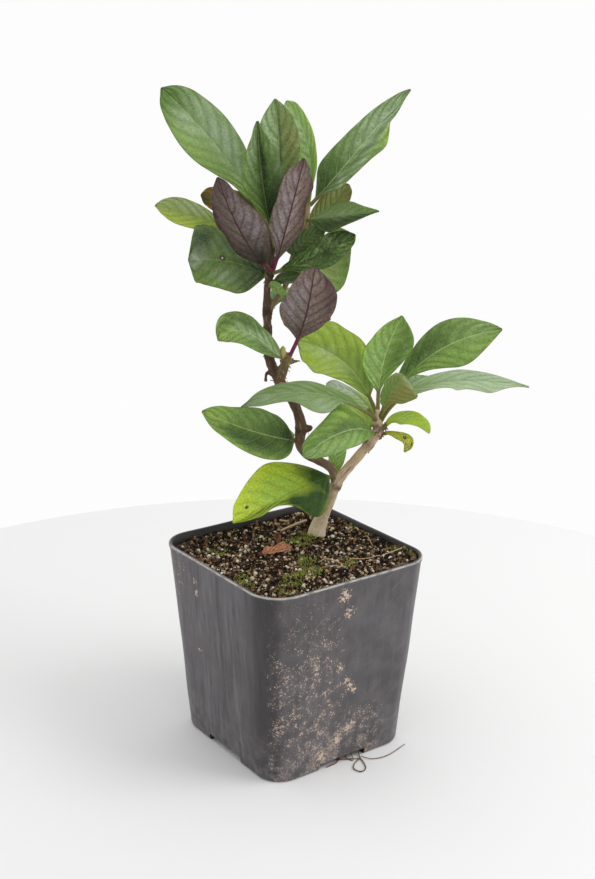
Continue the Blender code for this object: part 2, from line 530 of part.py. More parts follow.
def on_soil(form):
    """The same form with its midrib's heights turned into heights above the pot's base."""
    turn = math.radians(PLANT_TURN)
    path = []
    for right, away, up in form["path"]:
        x = right * math.cos(turn) - away * math.sin(turn)
        y = right * math.sin(turn) + away * math.cos(turn)
        path.append((right, away, soil_height(x, y) + up))
    return dict(form, path=path)


def midrib_at(path, share):
    """A point of the midrib, on the curve of lowest order through the path's points."""
    rows = np.array(path, float)
    lengths = np.linalg.norm(np.diff(rows, axis=0), axis=1)
    knots = np.concatenate([[0.0], np.cumsum(lengths)]) / lengths.sum()
    point = np.zeros(3)
    for i, row in enumerate(rows):
        weight = 1.0
        for j, knot in enumerate(knots):
            if j != i:
                weight *= (share - knot) / (knots[i] - knot)
        point += weight * row
    return point


def unit(vector):
    return vector / np.linalg.norm(vector)


def breadth(form, share, side):
    """Half the leaf's breadth at a share of its length: a narrow stalk, then the blade, on a smooth curve
    through its half-breadths."""
    along = (share - form["stalk"]) / (1 - form["stalk"])
    if along <= 0:
        return STALK_HALF
    places = np.array((0.0, *STATIONS, 1.0))
    halves = np.array((STALK_HALF, *form[side], TIP_HALF))
    slopes = np.gradient(halves, places)
    k = min(int(np.searchsorted(places, along, side="right")), len(STATIONS) + 1) - 1
    step = places[k + 1] - places[k]
    t = (along - places[k]) / step
    wide = ((1 + 2 * t) * (1 - t) ** 2 * halves[k] + t * (1 - t) ** 2 * step * slopes[k]
            + t * t * (3 - 2 * t) * halves[k + 1] - t * t * (1 - t) * step * slopes[k + 1])
    return max(wide, STALK_HALF * (1 - along) + TIP_HALF * along)


def leaf_along(form, share):
    step = 0.01
    return unit(midrib_at(form["path"], share + step) - midrib_at(form["path"], share - step))


def leaf_up(form, share):
    """The way the upper face looks at a share of the leaf's length, square to the midrib."""
    along = leaf_along(form, share)
    face = np.array(form["face"])
    return unit(face - along * (face @ along))


def leaf_point(form, share, across):
    """A point of the leaf's upper face: across runs from -1 at one edge to 1 at the other."""
    up = leaf_up(form, share)
    side = np.cross(leaf_along(form, share), up)
    half = breadth(form, share, "right" if across > 0 else "left")
    angle = math.radians(form["fold"])
    ripple = form["wave"] * math.sin(WAVE_TURNS * share + across) * across * across * half / form["half"]
    rise = abs(across) * half * math.sin(angle) + ripple
    return midrib_at(form["path"], share) + side * across * half * math.cos(angle) + up * rise


def row_share(start, row):
    """The share of the leaf's length at a place from 0 to 1 in its rows, which crowd at both ends."""
    return start + (1 - start) * (row - ROW_CROWDING * math.sin(2 * math.pi * row))


def leaf_mesh(form, start):
    """The leaf's open upper face as triangles, from a share of its length on."""
    shape = bmesh.new()
    bmesh.ops.create_grid(shape, x_segments=COLUMNS, y_segments=form["rows"], size=1.0)
    for point in shape.verts:
        share = row_share(start, (point.co.y + 1) / 2)
        point.co = Vector(leaf_point(form, share, point.co.x)) * MM
    bmesh.ops.triangulate(shape, faces=shape.faces)
    mesh = bpy.data.meshes.new(form["name"])
    shape.to_mesh(mesh)
    shape.free()
    return mesh


def make_leaf(form, start, parts, frame):
    """The blade with its thickness, from a share of its length on."""
    mesh = leaf_mesh(form, start)
    made = object_from(mesh, form["name"], parts, form["look"])
    ribs = made.vertex_groups.new(name="rib")
    for i in range(len(mesh.vertices)):
        row, column = divmod(i, COLUMNS + 1)
        share = row_share(start, row / form["rows"])
        thick = BLADE_THICK
        if column * 2 == COLUMNS or share < form["stalk"]:
            thick = STALK_THICK + (BLADE_THICK - STALK_THICK) * max(share, 0.0)
        ribs.add([i], thick / STALK_THICK, "REPLACE")
    shell = made.modifiers.new("thickness", "SOLIDIFY")
    shell.thickness = STALK_THICK * MM
    shell.offset = -1.0
    shell.vertex_group = "rib"
    made.parent = frame
    return made


def foot_share(form, stem_tree):
    """Where along its length the leaf starts: as close to the wood as GAP lets its stalk come."""
    share = FOOT_FROM / np.linalg.norm(np.diff(np.array(form["path"], float), axis=0), axis=1).sum()
    while foot_gap(form, share, stem_tree) < GAP:
        share += FOOT_STEP
    while GAP < foot_gap(form, share - FOOT_STEP, stem_tree) < FOOT_FAR:
        share -= FOOT_STEP
    return share


def foot_gap(form, share, stem_tree):
    """How far the stalk's end would be from the wood, in millimetres, below zero inside it."""
    least = math.inf
    for across in (-1, 0, 1):
        place = leaf_point(form, share, across)
        for depth in (0.0, STALK_THICK):
            point = Vector(place - leaf_up(form, share) * depth) * MM
            near, normal, _, distance = stem_tree.find_nearest(point)
            outside = (point - near).dot(normal) > 0
            least = min(least, distance / MM if outside else -distance / MM)
    return least


def main():
    clear_scene()
    parts = new_collection("potted_honeysuckle")
    cutters = new_collection("cutters")
    make_pot(parts, cutters)
    make_soil(parts, cutters)
    frame = bpy.data.objects.new("plant_frame", None)
    parts.objects.link(frame)
    frame.rotation_euler.z = math.radians(PLANT_TURN)
    stem = make_woody_stem(parts, frame)
    stem_tree = BVHTree.FromPolygons([v.co for v in stem.data.vertices],
                                     [p.vertices for p in stem.data.polygons])
    for form in LEAVES:
        make_leaf(form, foot_share(form, stem_tree), parts, frame)
    for form in DRY_LEAVES:
        make_leaf(on_soil(form), 0.0, parts, frame)


main()
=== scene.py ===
"""The looks of a young potted shrub honeysuckle, laid out as a Blender add-on and run as a script.

Metres, +Z up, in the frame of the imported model. Sizes are written in millimetres and turned into metres
by MM. The plant has a frame of its own, turned PLANT_TURN about Z: there a point is (right, away, up).
"""

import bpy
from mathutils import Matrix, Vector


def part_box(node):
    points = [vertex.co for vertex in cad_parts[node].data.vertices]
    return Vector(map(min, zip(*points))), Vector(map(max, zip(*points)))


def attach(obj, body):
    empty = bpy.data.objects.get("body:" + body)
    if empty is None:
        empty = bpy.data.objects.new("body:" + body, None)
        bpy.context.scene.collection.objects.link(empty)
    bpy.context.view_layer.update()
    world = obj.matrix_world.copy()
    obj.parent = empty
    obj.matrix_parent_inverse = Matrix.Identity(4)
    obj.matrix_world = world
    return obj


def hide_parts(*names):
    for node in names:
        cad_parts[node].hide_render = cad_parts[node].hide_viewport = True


bl_info = {
    "name": "Potted honeysuckle",
    "version": (1, 0, 0),
    "blender": (4, 5, 0),
    "location": "3D View > Sidebar > Honeysuckle",
    "description": "Dresses a young shrub honeysuckle in a square nursery pot",
    "category": "Add Mesh",
}

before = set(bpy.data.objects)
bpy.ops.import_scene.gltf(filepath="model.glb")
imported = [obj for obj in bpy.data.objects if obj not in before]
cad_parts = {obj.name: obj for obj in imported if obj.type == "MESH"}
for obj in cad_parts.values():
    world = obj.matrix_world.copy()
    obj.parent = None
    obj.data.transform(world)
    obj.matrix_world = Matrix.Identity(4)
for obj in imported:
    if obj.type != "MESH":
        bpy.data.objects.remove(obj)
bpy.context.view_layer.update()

import math

import bmesh
import bpy
import numpy as np
from bpy.props import FloatProperty, FloatVectorProperty, IntProperty, PointerProperty
from mathutils import Matrix, Vector, noise
from mathutils.bvhtree import BVHTree

MM = 0.001

# The pot's sizes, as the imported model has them
POT_TOP = 88.2
POT_FOOT = 74.5
POT_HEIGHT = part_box("pot")[1][2] / MM
POT_CORNER = 14.0
WALL = 1.3
LIP_OUT = 0.4
LIP_TALL = 2.0
CHANNEL_WIDE = 25.0
CHANNEL_DEEP = 3.2
PAD_RADIUS = 9.0
PAD_SUNK = 0.4
SLOT_LONG = 18.0
SLOT_WIDE = 4.5
SLOT_FROM_MIDDLE = 30.0
SOIL_GAP = 0.3
SOIL_LEVEL = 85.3
ABOVE_POT = 200.0

PLANT_TURN = math.radians(-36.0)


# Places

def turned(points):
    """Points of the plant's frame, in millimetres, as metres in the pot's frame."""
    points = np.asarray(points, float)
    out = points.copy()
    out[..., 0] = math.cos(PLANT_TURN) * points[..., 0] - math.sin(PLANT_TURN) * points[..., 1]
    out[..., 1] = math.sin(PLANT_TURN) * points[..., 0] + math.cos(PLANT_TURN) * points[..., 1]
    return out * MM


def node_tree_of_faces(node):
    """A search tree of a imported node's faces."""
    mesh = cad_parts[node].data
    return BVHTree.FromPolygons([v.co for v in mesh.vertices], [p.vertices for p in mesh.polygons])


SOIL_FACES = node_tree_of_faces("soil")
WOOD_FACES = node_tree_of_faces("woody_stem")


def soil_top(x, y):
    """The height of the packed soil's surface, in metres, at a place in the pot's frame."""
    hit = SOIL_FACES.ray_cast(Vector((x, y, ABOVE_POT * MM)), Vector((0, 0, -1)))[0]
    return hit.z if hit else SOIL_LEVEL * MM


# Settings

def display(red, green, blue):
    """A colour as a screen shows it, from 0 to 255, as the values that a shader takes."""
    return tuple((c / 255 / 12.92) if c < 11 else ((c / 255 + 0.055) / 1.055) ** 2.4
                 for c in (red, green, blue))


def colour(name, description, red, green, blue):
    return FloatVectorProperty(name=name, description=description, subtype="COLOR", size=3, min=0.0,
                               max=1.0, default=display(red, green, blue))


def per_area(name, what, default):
    return FloatProperty(name=name, description=what + " on a square metre", default=default)


class HoneysuckleLeafColours(bpy.types.PropertyGroup):
    green: colour("Green", "Full-grown leaf", 112, 144, 64)
    deep_green: colour("Deep green", "Shaded or thick part of a leaf", 38, 64, 16)
    dark_green: colour("Dark green", "Old glossy leaf", 84, 117, 42)
    fresh_green: colour("Fresh green", "Young leaf and sunlit margin", 146, 178, 72)
    lime: colour("Lime", "Soft young leaf", 166, 192, 50)
    yellow: colour("Yellow green", "Ageing leaf", 190, 206, 50)
    sage: colour("Sage", "Leaf with a thin bloom", 134, 162, 96)
    # Pale bloom, which the pale tints and some looks also use for painted sheen and highlights
    frost: colour("Frost", "Thick bloom on a leaf", 170, 190, 156)
    # Painted glare highlight, and the white seen through holes in a leaf
    glare: colour("Glare", "Whitest bloom", 222, 226, 228)
    tip_green: colour("Tip green", "Leaf tip free of bloom", 76, 116, 12)
    olive: colour("Olive", "Brownish green leaf", 136, 134, 70)
    black_green: colour("Black green", "Leaf base in deep shade", 22, 32, 12)
    pale_under: colour("Pale underside", "Back of a green leaf", 166, 182, 112)
    purple: colour("Purple", "Back of a purple leaf", 130, 112, 102)
    # Bloom on a purple leaf, and its painted highlight patches
    purple_bloom_and_sheen: colour("Pale purple", "Bloom on a purple leaf", 160, 146, 146)
    plum: colour("Plum", "Stalks of the purple leaves", 132, 46, 84)
    purple_dark: colour("Dark purple", "Veins and stalk of a purple leaf", 66, 28, 38)
    pink: colour("Pink", "Flush along a midrib", 168, 134, 132)
    bronze: colour("Bronze", "Leaf turning brown", 138, 98, 26)
    tan: colour("Tan", "Leaf dried to tan", 150, 128, 86)
    vein: colour("Pale vein", "Midrib and veins of a green leaf", 188, 200, 148)
    spot: colour("Spot", "Dead spot", 62, 42, 24)
    rust: colour("Rust", "Dry leaf on the soil", 222, 158, 116)
    rust_dark: colour("Dark rust", "Folds of a dry leaf", 92, 50, 34)


class HoneysuckleWoodColours(bpy.types.PropertyGroup):
    bark: colour("Bark", "Trunk", 224, 192, 158)
    bark_light: colour("Light bark", "Peeling strips", 246, 232, 206)
    bark_red: colour("Red bark", "Bark under the strips", 202, 164, 134)
    bark_dark: colour("Dark bark", "Leader", 88, 68, 52)
    crack: colour("Crack", "Cracks between strips", 58, 40, 28)
    soft_wood: colour("Soft wood", "Green growth at a knuckle", 178, 186, 84)
    moss: colour("Moss", "Moss on soil and bark", 172, 182, 80)
    moss_dark: colour("Dark moss", "Moss in its hollows", 104, 116, 46)
    straw: colour("Straw", "Dry straws", 190, 172, 134)
    root: colour("Root", "Fine roots", 128, 104, 80)


class HoneysucklePotColours(bpy.types.PropertyGroup):
    plastic: colour("Plastic", "Pot", 78, 74, 78)
    # Darker plastic, and also the painted shade inside the pot and down its front corner
    dark_plastic_and_shade: colour("Dark plastic", "Inside of the pot", 40, 36, 37)
    scuff: colour("Scuff", "Rubbed plastic", 122, 118, 120)
    # The rim colour is a painted highlight along the rolled top edge
    rim: colour("Rim", "Pale line along the rim", 196, 190, 182)
    dirt: colour("Dirt", "Dried mud on the pot", 178, 160, 148)
    clay: colour("Clay", "Thick mud patches", 226, 202, 182)
    # Soil is near black: damp soil, darkened further as painted shade in the gaps between crumbs
    soil: colour("Soil", "Damp soil", 15, 11, 9)
    soil_light: colour("Light soil", "Dry crumbs", 186, 154, 118)
    perlite: colour("Perlite", "White grains", 238, 232, 218)
    perlite_stain: colour("Stained perlite", "Brown grains", 168, 142, 106)
    chip: colour("Bark chip", "Bits of bark in the soil", 160, 120, 84)
    chip_dark: colour("Dark chip", "Wet bits of bark", 84, 54, 36)


class HoneysuckleSizes(bpy.types.PropertyGroup):
    blade: FloatProperty(name="Blade", description="Thickness of a leaf", default=0.42 * MM,
                         unit="LENGTH")
    rows: IntProperty(name="Rows", description="Steps along a leaf", default=64, min=16, max=160)
    half_columns: IntProperty(name="Half columns", description="Steps from midrib to edge", default=14,
                              min=6, max=30)
    bark_cell: FloatProperty(name="Bark cell", description="Size of the bark's faces", default=0.42 * MM,
                             unit="LENGTH")
    crumbs: per_area("Crumbs", "Soil crumbs", 800000.0)
    perlite: per_area("Perlite", "White grains", 125000.0)
    chips: per_area("Chips", "Bark bits", 70000.0)
    moss: per_area("Moss", "Moss blades, where the moss is full,", 7000000.0)
    flakes: per_area("Flakes", "Bark flakes, where the bark peels,", 170000.0)
    hairs: per_area("Hairs", "Hairs, where stalks and midribs have them,", 3000000.0)
    seed: IntProperty(name="Seed", description="Seed of the scattered pieces", default=11, min=0)


# Nodes

class Wire:
    """One output of a node. Arithmetic on it adds Math nodes to its tree."""

    def __init__(self, socket):
        self.socket = socket
        self.tree = socket.id_data

    def of(self, key):
        """Another output of the same node."""
        return Wire(self.socket.node.outputs[key])

    def __add__(self, other):
        return calc("ADD", self, other)

    def __sub__(self, other):
        return calc("SUBTRACT", self, other)

    def __rsub__(self, other):
        return calc("SUBTRACT", other, self)

    def __mul__(self, other):
        return calc("MULTIPLY", self, other)


def fill(tree, node, inputs):
    """Gives a node its inputs, which are values or wires."""
    for key, value in inputs.items():
        if isinstance(value, Wire):
            tree.links.new(value.socket, node.inputs[key])
        else:
            node.inputs[key].default_value = value


def put(tree, kind, inputs=None, out=0, **settings):
    """Adds a node with its inputs and settings, and gives one of its outputs."""
    node = tree.nodes.new(kind)
    for key, value in settings.items():
        setattr(node, key, value)
    fill(tree, node, inputs or {})
    return Wire(node.outputs[out])


def calc(operation, *values, clamp=False):
    """A Math node on values, of which at least one is a wire."""
    tree = next(value.tree for value in values if isinstance(value, Wire))
    return put(tree, "ShaderNodeMath", dict(enumerate(values)), operation=operation, use_clamp=clamp)


def vectors(operation, first, second, out="Vector"):
    """A Vector Math node on a wire and another vector, or a number for SCALE."""
    return put(first.tree, "ShaderNodeVectorMath", {0: first, "Scale" if operation == "SCALE" else 1: second},
               out, operation=operation)


def solid(value):
    """A colour with its alpha, or a wire as it is."""
    return value if isinstance(value, Wire) else (*value, 1.0)


def mixed(amount, first, second):
    """The first colour, covered by the second as far as the wire amount says."""
    return put(amount.tree, "ShaderNodeMix", {0: amount, 6: solid(first), 7: solid(second)}, 2,
               data_type="RGBA")


def ramp(value, low, high, start=0.0, end=1.0):
    """A smooth step of value from low to high, which gives start to end."""
    return put(value.tree, "ShaderNodeMapRange",
               {"Value": value, "From Min": low, "From Max": high, "To Min": start, "To Max": end},
               interpolation_type="SMOOTHSTEP")


def cloud(vector, scale, detail=4.0, roughness=0.55):
    return put(vector.tree, "ShaderNodeTexNoise",
               {"Vector": vector, "Scale": scale, "Detail": detail, "Roughness": roughness})


def stretched(vector, *scale):
    return put(vector.tree, "ShaderNodeMapping", {"Vector": vector, "Scale": scale})


def attribute(tree, name, out):
    return put(tree, "ShaderNodeAttribute", out=out, attribute_name=name)


def parts_of(vector):
    first = put(vector.tree, "ShaderNodeSeparateXYZ", {"Vector": vector})
    return first, first.of(1), first.of(2)


def channels_of(tone):
    """Red, green and blue of a colour."""
    red = put(tone.tree, "ShaderNodeSeparateColor", {"Color": tone})
    return red, red.of(1), red.of(2)


class Paint:
    """A material in the making: its base colour, on which coats are laid, and the place of each point."""

    def __init__(self, name, base, roughness, specular=0.5):
        self.material = bpy.data.materials.new(name)
        self.material.use_nodes = True
        self.material.diffuse_color = (*base, 1.0)
        self.tree = self.material.node_tree
        self.base = base
        self.place = put(self.tree, "ShaderNodeTexCoord", out="Object")
        self.set({"Base Color": solid(base), "Roughness": roughness, "Specular IOR Level": specular})

    def set(self, inputs):
        """Sets inputs of the shader."""
        fill(self.tree, self.tree.nodes["Principled BSDF"], inputs)

    def lay(self, amount, coat):
        """Covers the base with another colour, as far as the wire amount says."""
        self.base = mixed(amount, self.base, coat)

    def finished(self, height=None, depth=0.3):
        """The material. Relief comes from a height between 0 and 1 that stands for depth in millimetres."""
        self.set({"Base Color": solid(self.base)})
        if height is not None:
            self.set({"Normal": put(self.tree, "ShaderNodeBump",
                                    {"Height": height, "Strength": 1.0, "Distance": depth * MM})})
        return self.material


# Pieces

def linked(name, data):
    """A new object in the scene."""
    made = bpy.data.objects.new(name, data)
    bpy.context.scene.collection.objects.link(made)
    return made


def add_piece(name, mesh, slot, nodes=(), smooth=True):
    """Puts a finished mesh in the scene as a piece of the part that rides on its only body."""
    piece = linked(name, mesh)
    if smooth:
        mesh.shade_smooth()
    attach(piece, "root")
    if nodes:
        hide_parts(*nodes)


def mesh_from(name, points, faces, materials=()):
    mesh = bpy.data.meshes.new(name)
    mesh.from_pydata([tuple(p) for p in points], [], faces)
    for each in materials:
        mesh.materials.append(each)
    mesh.update()
    return mesh


def mesh_of(name, shape):
    """A bmesh as a mesh, after which the bmesh is gone."""
    mesh = bpy.data.meshes.new(name)
    shape.to_mesh(mesh)
    shape.free()
    return mesh


def store(mesh, name, kind, values):
    """Writes one value a vertex: FLOAT, FLOAT_VECTOR or FLOAT_COLOR."""
    layer = mesh.attributes.new(name, kind, "POINT")
    key = {"FLOAT": "value", "FLOAT_VECTOR": "vector", "FLOAT_COLOR": "color"}[kind]
    layer.data.foreach_set(key, np.ascontiguousarray(values, np.float32).ravel())


def taken(piece):
    """The mesh that an object has after its modifiers. The object goes."""
    bpy.context.view_layer.update()
    graph = bpy.context.evaluated_depsgraph_get()
    mesh = bpy.data.meshes.new_from_object(piece.evaluated_get(graph))
    bpy.data.objects.remove(piece)
    return mesh


def smooth_path(points, spacing):
    """Points about spacing apart on the Catmull-Rom curve through the given rows of numbers."""
    rows = np.array(points, float)
    ends = np.vstack([2 * rows[0] - rows[1], rows, 2 * rows[-1] - rows[-2]])
    out = []
    for i in range(1, len(ends) - 2):
        a, b, c, d = ends[i - 1:i + 3]
        count = max(1, round(np.linalg.norm((c - b)[:3]) / spacing))
        for k in range(count):
            t = k / count
            out.append(0.5 * (2 * b + (c - a) * t + (2 * a - 5 * b + 4 * c - d) * t * t
                              + (3 * b - a - 3 * c + d) * t ** 3))
    out.append(rows[-1])
    return np.array(out)


def tube_mesh(name, rows, spacing=1.0, resolution=3):
    """A round stem as a mesh in the pot's frame, through rows of right, away, up and radius."""
    line = bpy.data.curves.new(name, "CURVE")
    line.dimensions = "3D"
    line.bevel_depth = MM
    line.bevel_resolution = resolution
    line.use_fill_caps = True
    path = smooth_path(rows, spacing)
    spline = line.splines.new("POLY")
    spline.points.add(len(path) - 1)
    for point, place, radius in zip(spline.points, turned(path[:, :3]), path[:, 3]):
        point.co = (*place, 1.0)
        point.radius = radius
    return taken(linked(name, line))


def joined_mesh(name, meshes, merge=True):
    """Several meshes as one, with doubled points merged if they touch."""
    shape = bmesh.new()
    for mesh in meshes:
        shape.from_mesh(mesh)
    if merge:
        bmesh.ops.remove_doubles(shape, verts=shape.verts, dist=1e-6)
        bmesh.ops.recalc_face_normals(shape, faces=shape.faces)
    return mesh_of(name, shape)


def with_modifier(mesh, kind, **settings):
    """A mesh as one modifier leaves it."""
    piece = linked(mesh.name, mesh)
    step = piece.modifiers.new(kind.lower(), kind)
    for key, value in settings.items():
        setattr(step, key, value)
    return taken(piece)


# Pot

POT_CORNER_STEPS = 12
POT_SIDE_STEPS = 10
OUTSIDE_STEPS = 26
INSIDE_STEPS = 14
SAG = 0.5
SAG_WIDE = 34.0
SAG_TALL = 30.0
STIFF_FOOT = 20.0


def pot_width(z):
    return POT_FOOT + (POT_TOP - POT_FOOT) * z / POT_HEIGHT


def rounded_square(width, radius):
    """The points of a square with round corners, anticlockwise from the right side's lower end."""
    half = width / 2
    points = []
    for corner in range(4):
        turn = corner * math.pi / 2
        start = np.array((half, -(half - radius)))
        end = np.array((half, half - radius))
        for k in range(POT_SIDE_STEPS):
            points.append((start + (end - start) * k / POT_SIDE_STEPS, turn))
        for k in range(POT_CORNER_STEPS):
            angle = math.pi / 2 * k / POT_CORNER_STEPS
            bend = np.array((math.cos(angle), math.sin(angle))) * radius
            points.append((np.array((half - radius, half - radius)) + bend, turn))
    return np.array([(math.cos(t) * p[0] - math.sin(t) * p[1], math.sin(t) * p[0] + math.cos(t) * p[1])
                     for p, t in points])


def pot_loop(z, inset):
    width = pot_width(z) - 2 * inset
    radius = max((POT_CORNER - inset) / (POT_TOP - 2 * inset) * width, 0.5)
    return rounded_square(width, radius)


def pot_sag(x, y, z):
    """How far the thin wall bows in or out, in millimetres, at a place on it."""
    bow = noise.noise(Vector((x / SAG_WIDE, y / SAG_WIDE, z / SAG_TALL))) * SAG
    return bow * min(1.0, z / STIFF_FOOT)


def pot_profile():
    """Height and inset of each loop, from the foot up the outside, over the lip and down the inside."""
    rows = [(0.0, 1.4), (0.15, 0.7), (0.6, 0.2), (1.4, 0.0)]
    foot, top = rows[-1][0], POT_HEIGHT - LIP_TALL
    rows += [(foot + (top - foot) * k / OUTSIDE_STEPS, 0.0) for k in range(1, OUTSIDE_STEPS + 1)]
    rows += [(top + 0.12, -0.22), (top + 0.45, -LIP_OUT), (POT_HEIGHT - 0.5, -LIP_OUT),
             (POT_HEIGHT - 0.14, -0.26), (POT_HEIGHT, 0.06), (POT_HEIGHT, 0.6),
             (POT_HEIGHT - 0.14, 1.0), (POT_HEIGHT - 0.5, WALL)]
    floor = CHANNEL_DEEP + WALL
    rows += [(POT_HEIGHT - 0.5 + (floor + 0.5 - POT_HEIGHT) * k / INSIDE_STEPS, WALL)
             for k in range(1, INSIDE_STEPS + 1)]
    return rows


def loft(loops):
    """Faces between loops of equal length, with the first and the last one closed by one face each."""
    count = len(loops[0])
    faces = []
    for low in range(0, (len(loops) - 1) * count, count):
        for k in range(count):
            after = (k + 1) % count
            faces.append((low + k, low + after, low + count + after, low + count + k))
    last = (len(loops) - 1) * count
    return faces + [tuple(range(count))[::-1], tuple(range(last, last + count))]


def cutter(name, low, high):
    shape = bmesh.new()
    bmesh.ops.create_cube(shape, size=1.0)
    for corner in shape.verts:
        corner.co = Vector([(a if c < 0 else b) * MM for c, a, b in zip(corner.co, low, high)])
    return linked(name, mesh_of(name, shape))


def pot_cutters():
    """The cross channel and the drain slots under the pot."""
    half, reach = CHANNEL_WIDE / 2, POT_TOP
    yield cutter("channel_x", (-reach, -half, -2.0), (reach, half, CHANNEL_DEEP))
    yield cutter("channel_y", (-half, -reach, -2.0), (half, reach, CHANNEL_DEEP))
    for side, (x, y) in enumerate(((1, 0), (0, 1), (-1, 0), (0, -1))):
        half_x, half_y = (SLOT_LONG / 2, SLOT_WIDE / 2) if y else (SLOT_WIDE / 2, SLOT_LONG / 2)
        x, y = SLOT_FROM_MIDDLE * x, SLOT_FROM_MIDDLE * y
        yield cutter(f"slot_{side}", (x - half_x, y - half_y, CHANNEL_DEEP - 1.0),
                     (x + half_x, y + half_y, CHANNEL_DEEP + WALL + 1.0))


def speckles(place, scale, weight, largest, uneven):
    """Specks, one to a cell: more and larger where the weight is high, with ragged edges."""
    far = put(place.tree, "ShaderNodeTexVoronoi", {"Vector": place, "Scale": scale})
    chance = channels_of(far.of("Color"))[0]
    least = 1.0 - weight
    size = ramp(chance - least, -0.1, 0.5) * largest + (uneven - 0.5) * 0.5
    return ramp(size * calc("GREATER_THAN", chance, least) - far, 0.0, 0.08)


def plastic_material(colours):
    """The pot's plastic: scuffed, with dried mud round the front corner and low on the right face."""
    paint = Paint("pot_plastic", colours.plastic, 0.5)
    place = paint.place
    x, y, z = parts_of(place)
    # 0 at the pot's front corner, less on the left face and more on the right one
    round_pot = x - y
    right_side = ramp(round_pot, -0.004, 0.004)
    left_side = ramp(right_side, 0.0, 1.0, 1.0, 0.35)
    upright = cloud(stretched(place, 1.0, 1.0, 0.05), 420.0, 4.0, 0.65)
    specks = cloud(place, 900.0, 3.0, 0.75)
    clumps = cloud(place, 230.0, 4.0, 0.65)
    paint.lay(ramp(cloud(place, 26.0, 5.0), 0.35, 0.7, 0.0, 0.55), colours.dark_plastic_and_shade)
    film = ramp(cloud(place, 120.0, 5.0, 0.65), 0.35, 0.7, 0.1, 0.34)
    paint.lay(film * ramp(right_side, 0.0, 1.0, 0.6, 1.0), colours.scuff)
    paint.lay(ramp(upright, 0.5, 0.68, 0.0, 0.42) * left_side, colours.scuff)
    paint.lay(ramp(upright, 0.34, 0.48, 0.65, 0.0) * left_side, colours.dark_plastic_and_shade)
    # Painted shade: a dark band down the front corner, where the plastic reflects little light
    strip = ramp(round_pot, -0.024, -0.01) * ramp(round_pot, 0.0, 0.007, 0.75, 0.0)
    paint.lay(strip, colours.dark_plastic_and_shade)

    # Mud: a band right of the front corner, a low patch in the right face's middle, thin elsewhere
    band = ramp(round_pot, -0.012, 0.004) * ramp(round_pot, 0.026, 0.052, 1.0, 0.15)
    band = band * ramp(z, 0.04, 0.088, 1.0, 0.5)
    low = ramp(round_pot, 0.004, 0.02) * ramp(round_pot, 0.05, 0.066, 1.0, 0.15)
    low = low * ramp(z, 0.014, 0.04, 1.0, 0.0)
    far_edge = ramp(round_pot, -0.068, -0.054, 0.3, 0.0) * ramp(z, 0.03, 0.08)
    weight = calc("MAXIMUM", calc("MAXIMUM", band * 0.42, low * 0.52), far_edge)
    weight = calc("MAXIMUM", weight, ramp(right_side, 0.0, 1.0, 0.05, 0.08))
    weight = weight * ramp(clumps, 0.36, 0.62, 0.35, 1.35)
    dirt = calc("MAXIMUM", speckles(place, 1700.0, weight, 0.8, specks),
                speckles(place, 700.0, weight * 0.55, 0.62, specks))
    paint.lay(ramp(weight, 0.1, 0.7, 0.0, 0.4) * ramp(specks, 0.35, 0.7), colours.dirt)
    paint.lay(dirt * 0.72, mixed(ramp(clumps, 0.35, 0.65), colours.dirt, colours.clay))
    paint.lay(ramp(z, 0.004, 0.03, 0.5, 0.0) * ramp(clumps, 0.35, 0.7), colours.scuff)

    # Scratches run up to the right across the right face
    slope = put(paint.tree, "ShaderNodeCombineXYZ", {"X": x * 0.05 + z * 0.035, "Y": y, "Z": z - x * 0.7})
    scratch = ramp(cloud(slope, 800.0, 3.0, 0.6), 0.6, 0.68, 0.0, 0.4)
    paint.lay(scratch * right_side, colours.scuff)
    clay = 0.0
    for spot, wide in CLAY_PATCHES:
        far = vectors("DISTANCE", place, tuple(c * MM for c in spot), "Value")
        far = far + (specks - 0.5) * (wide * 6.0 * MM)
        clay = calc("MAXIMUM", clay, ramp(far, wide * 0.3 * MM, wide * 0.9 * MM, 1.0, 0.0))
    paint.lay(clay * 0.85, colours.clay)

    # More than 0 where the face looks out of the pot, less inside it
    facing = vectors("DOT_PRODUCT", put(paint.tree, "ShaderNodeNewGeometry", out="Normal"),
                     stretched(place, 1.0, 1.0, 0.0), "Value")
    # Painted shade: faces inside the pot are darkened
    paint.lay(ramp(facing, -0.01, -0.002, 1.0, 0.0), colours.dark_plastic_and_shade)
    # Painted highlight: a pale line along the rolled top of the rim
    rim = ramp(z, 0.089, 0.0896) * ramp(facing, 0.004, 0.02)
    paint.lay(rim * ramp(cloud(place, 260.0, 5.0), 0.3, 0.6, 0.3, 1.0), colours.rim)
    paint.set({"Roughness": ramp(dirt, 0.0, 1.0, 0.42, 0.9)})
    return paint.finished(calc("MAXIMUM", dirt, clay) * 0.8 + cloud(place, 1500.0, 3.0) * 0.2, 0.35)


# Mud patches on the right face, in the pot's frame: place and how wide, in millimetres
CLAY_PATCHES = [((-5.0, -41.0, 49.1), 2.0), ((1.3, -40.2, 38.8), 2.4), ((-1.0, -40.4, 42.0), 2.0),
                ((3.2, -40.0, 36.0), 1.8), ((-18.1, -41.3, 52.5), 1.6), ((-17.6, -41.3, 49.5), 1.5),
                ((-5.3, -43.6, 83.5), 3.4), ((-1.9, -43.0, 75.1), 2.6), ((-3.0, -38.2, 13.0), 2.6),
                ((3.0, -38.5, 18.0), 2.8), ((-12.0, -37.5, 7.0), 3.0), ((-42.8, 13.1, 73.5), 1.6),
                ((-42.6, 14.2, 79.0), 1.6), ((-40.8, 15.4, 45.0), 1.3)]


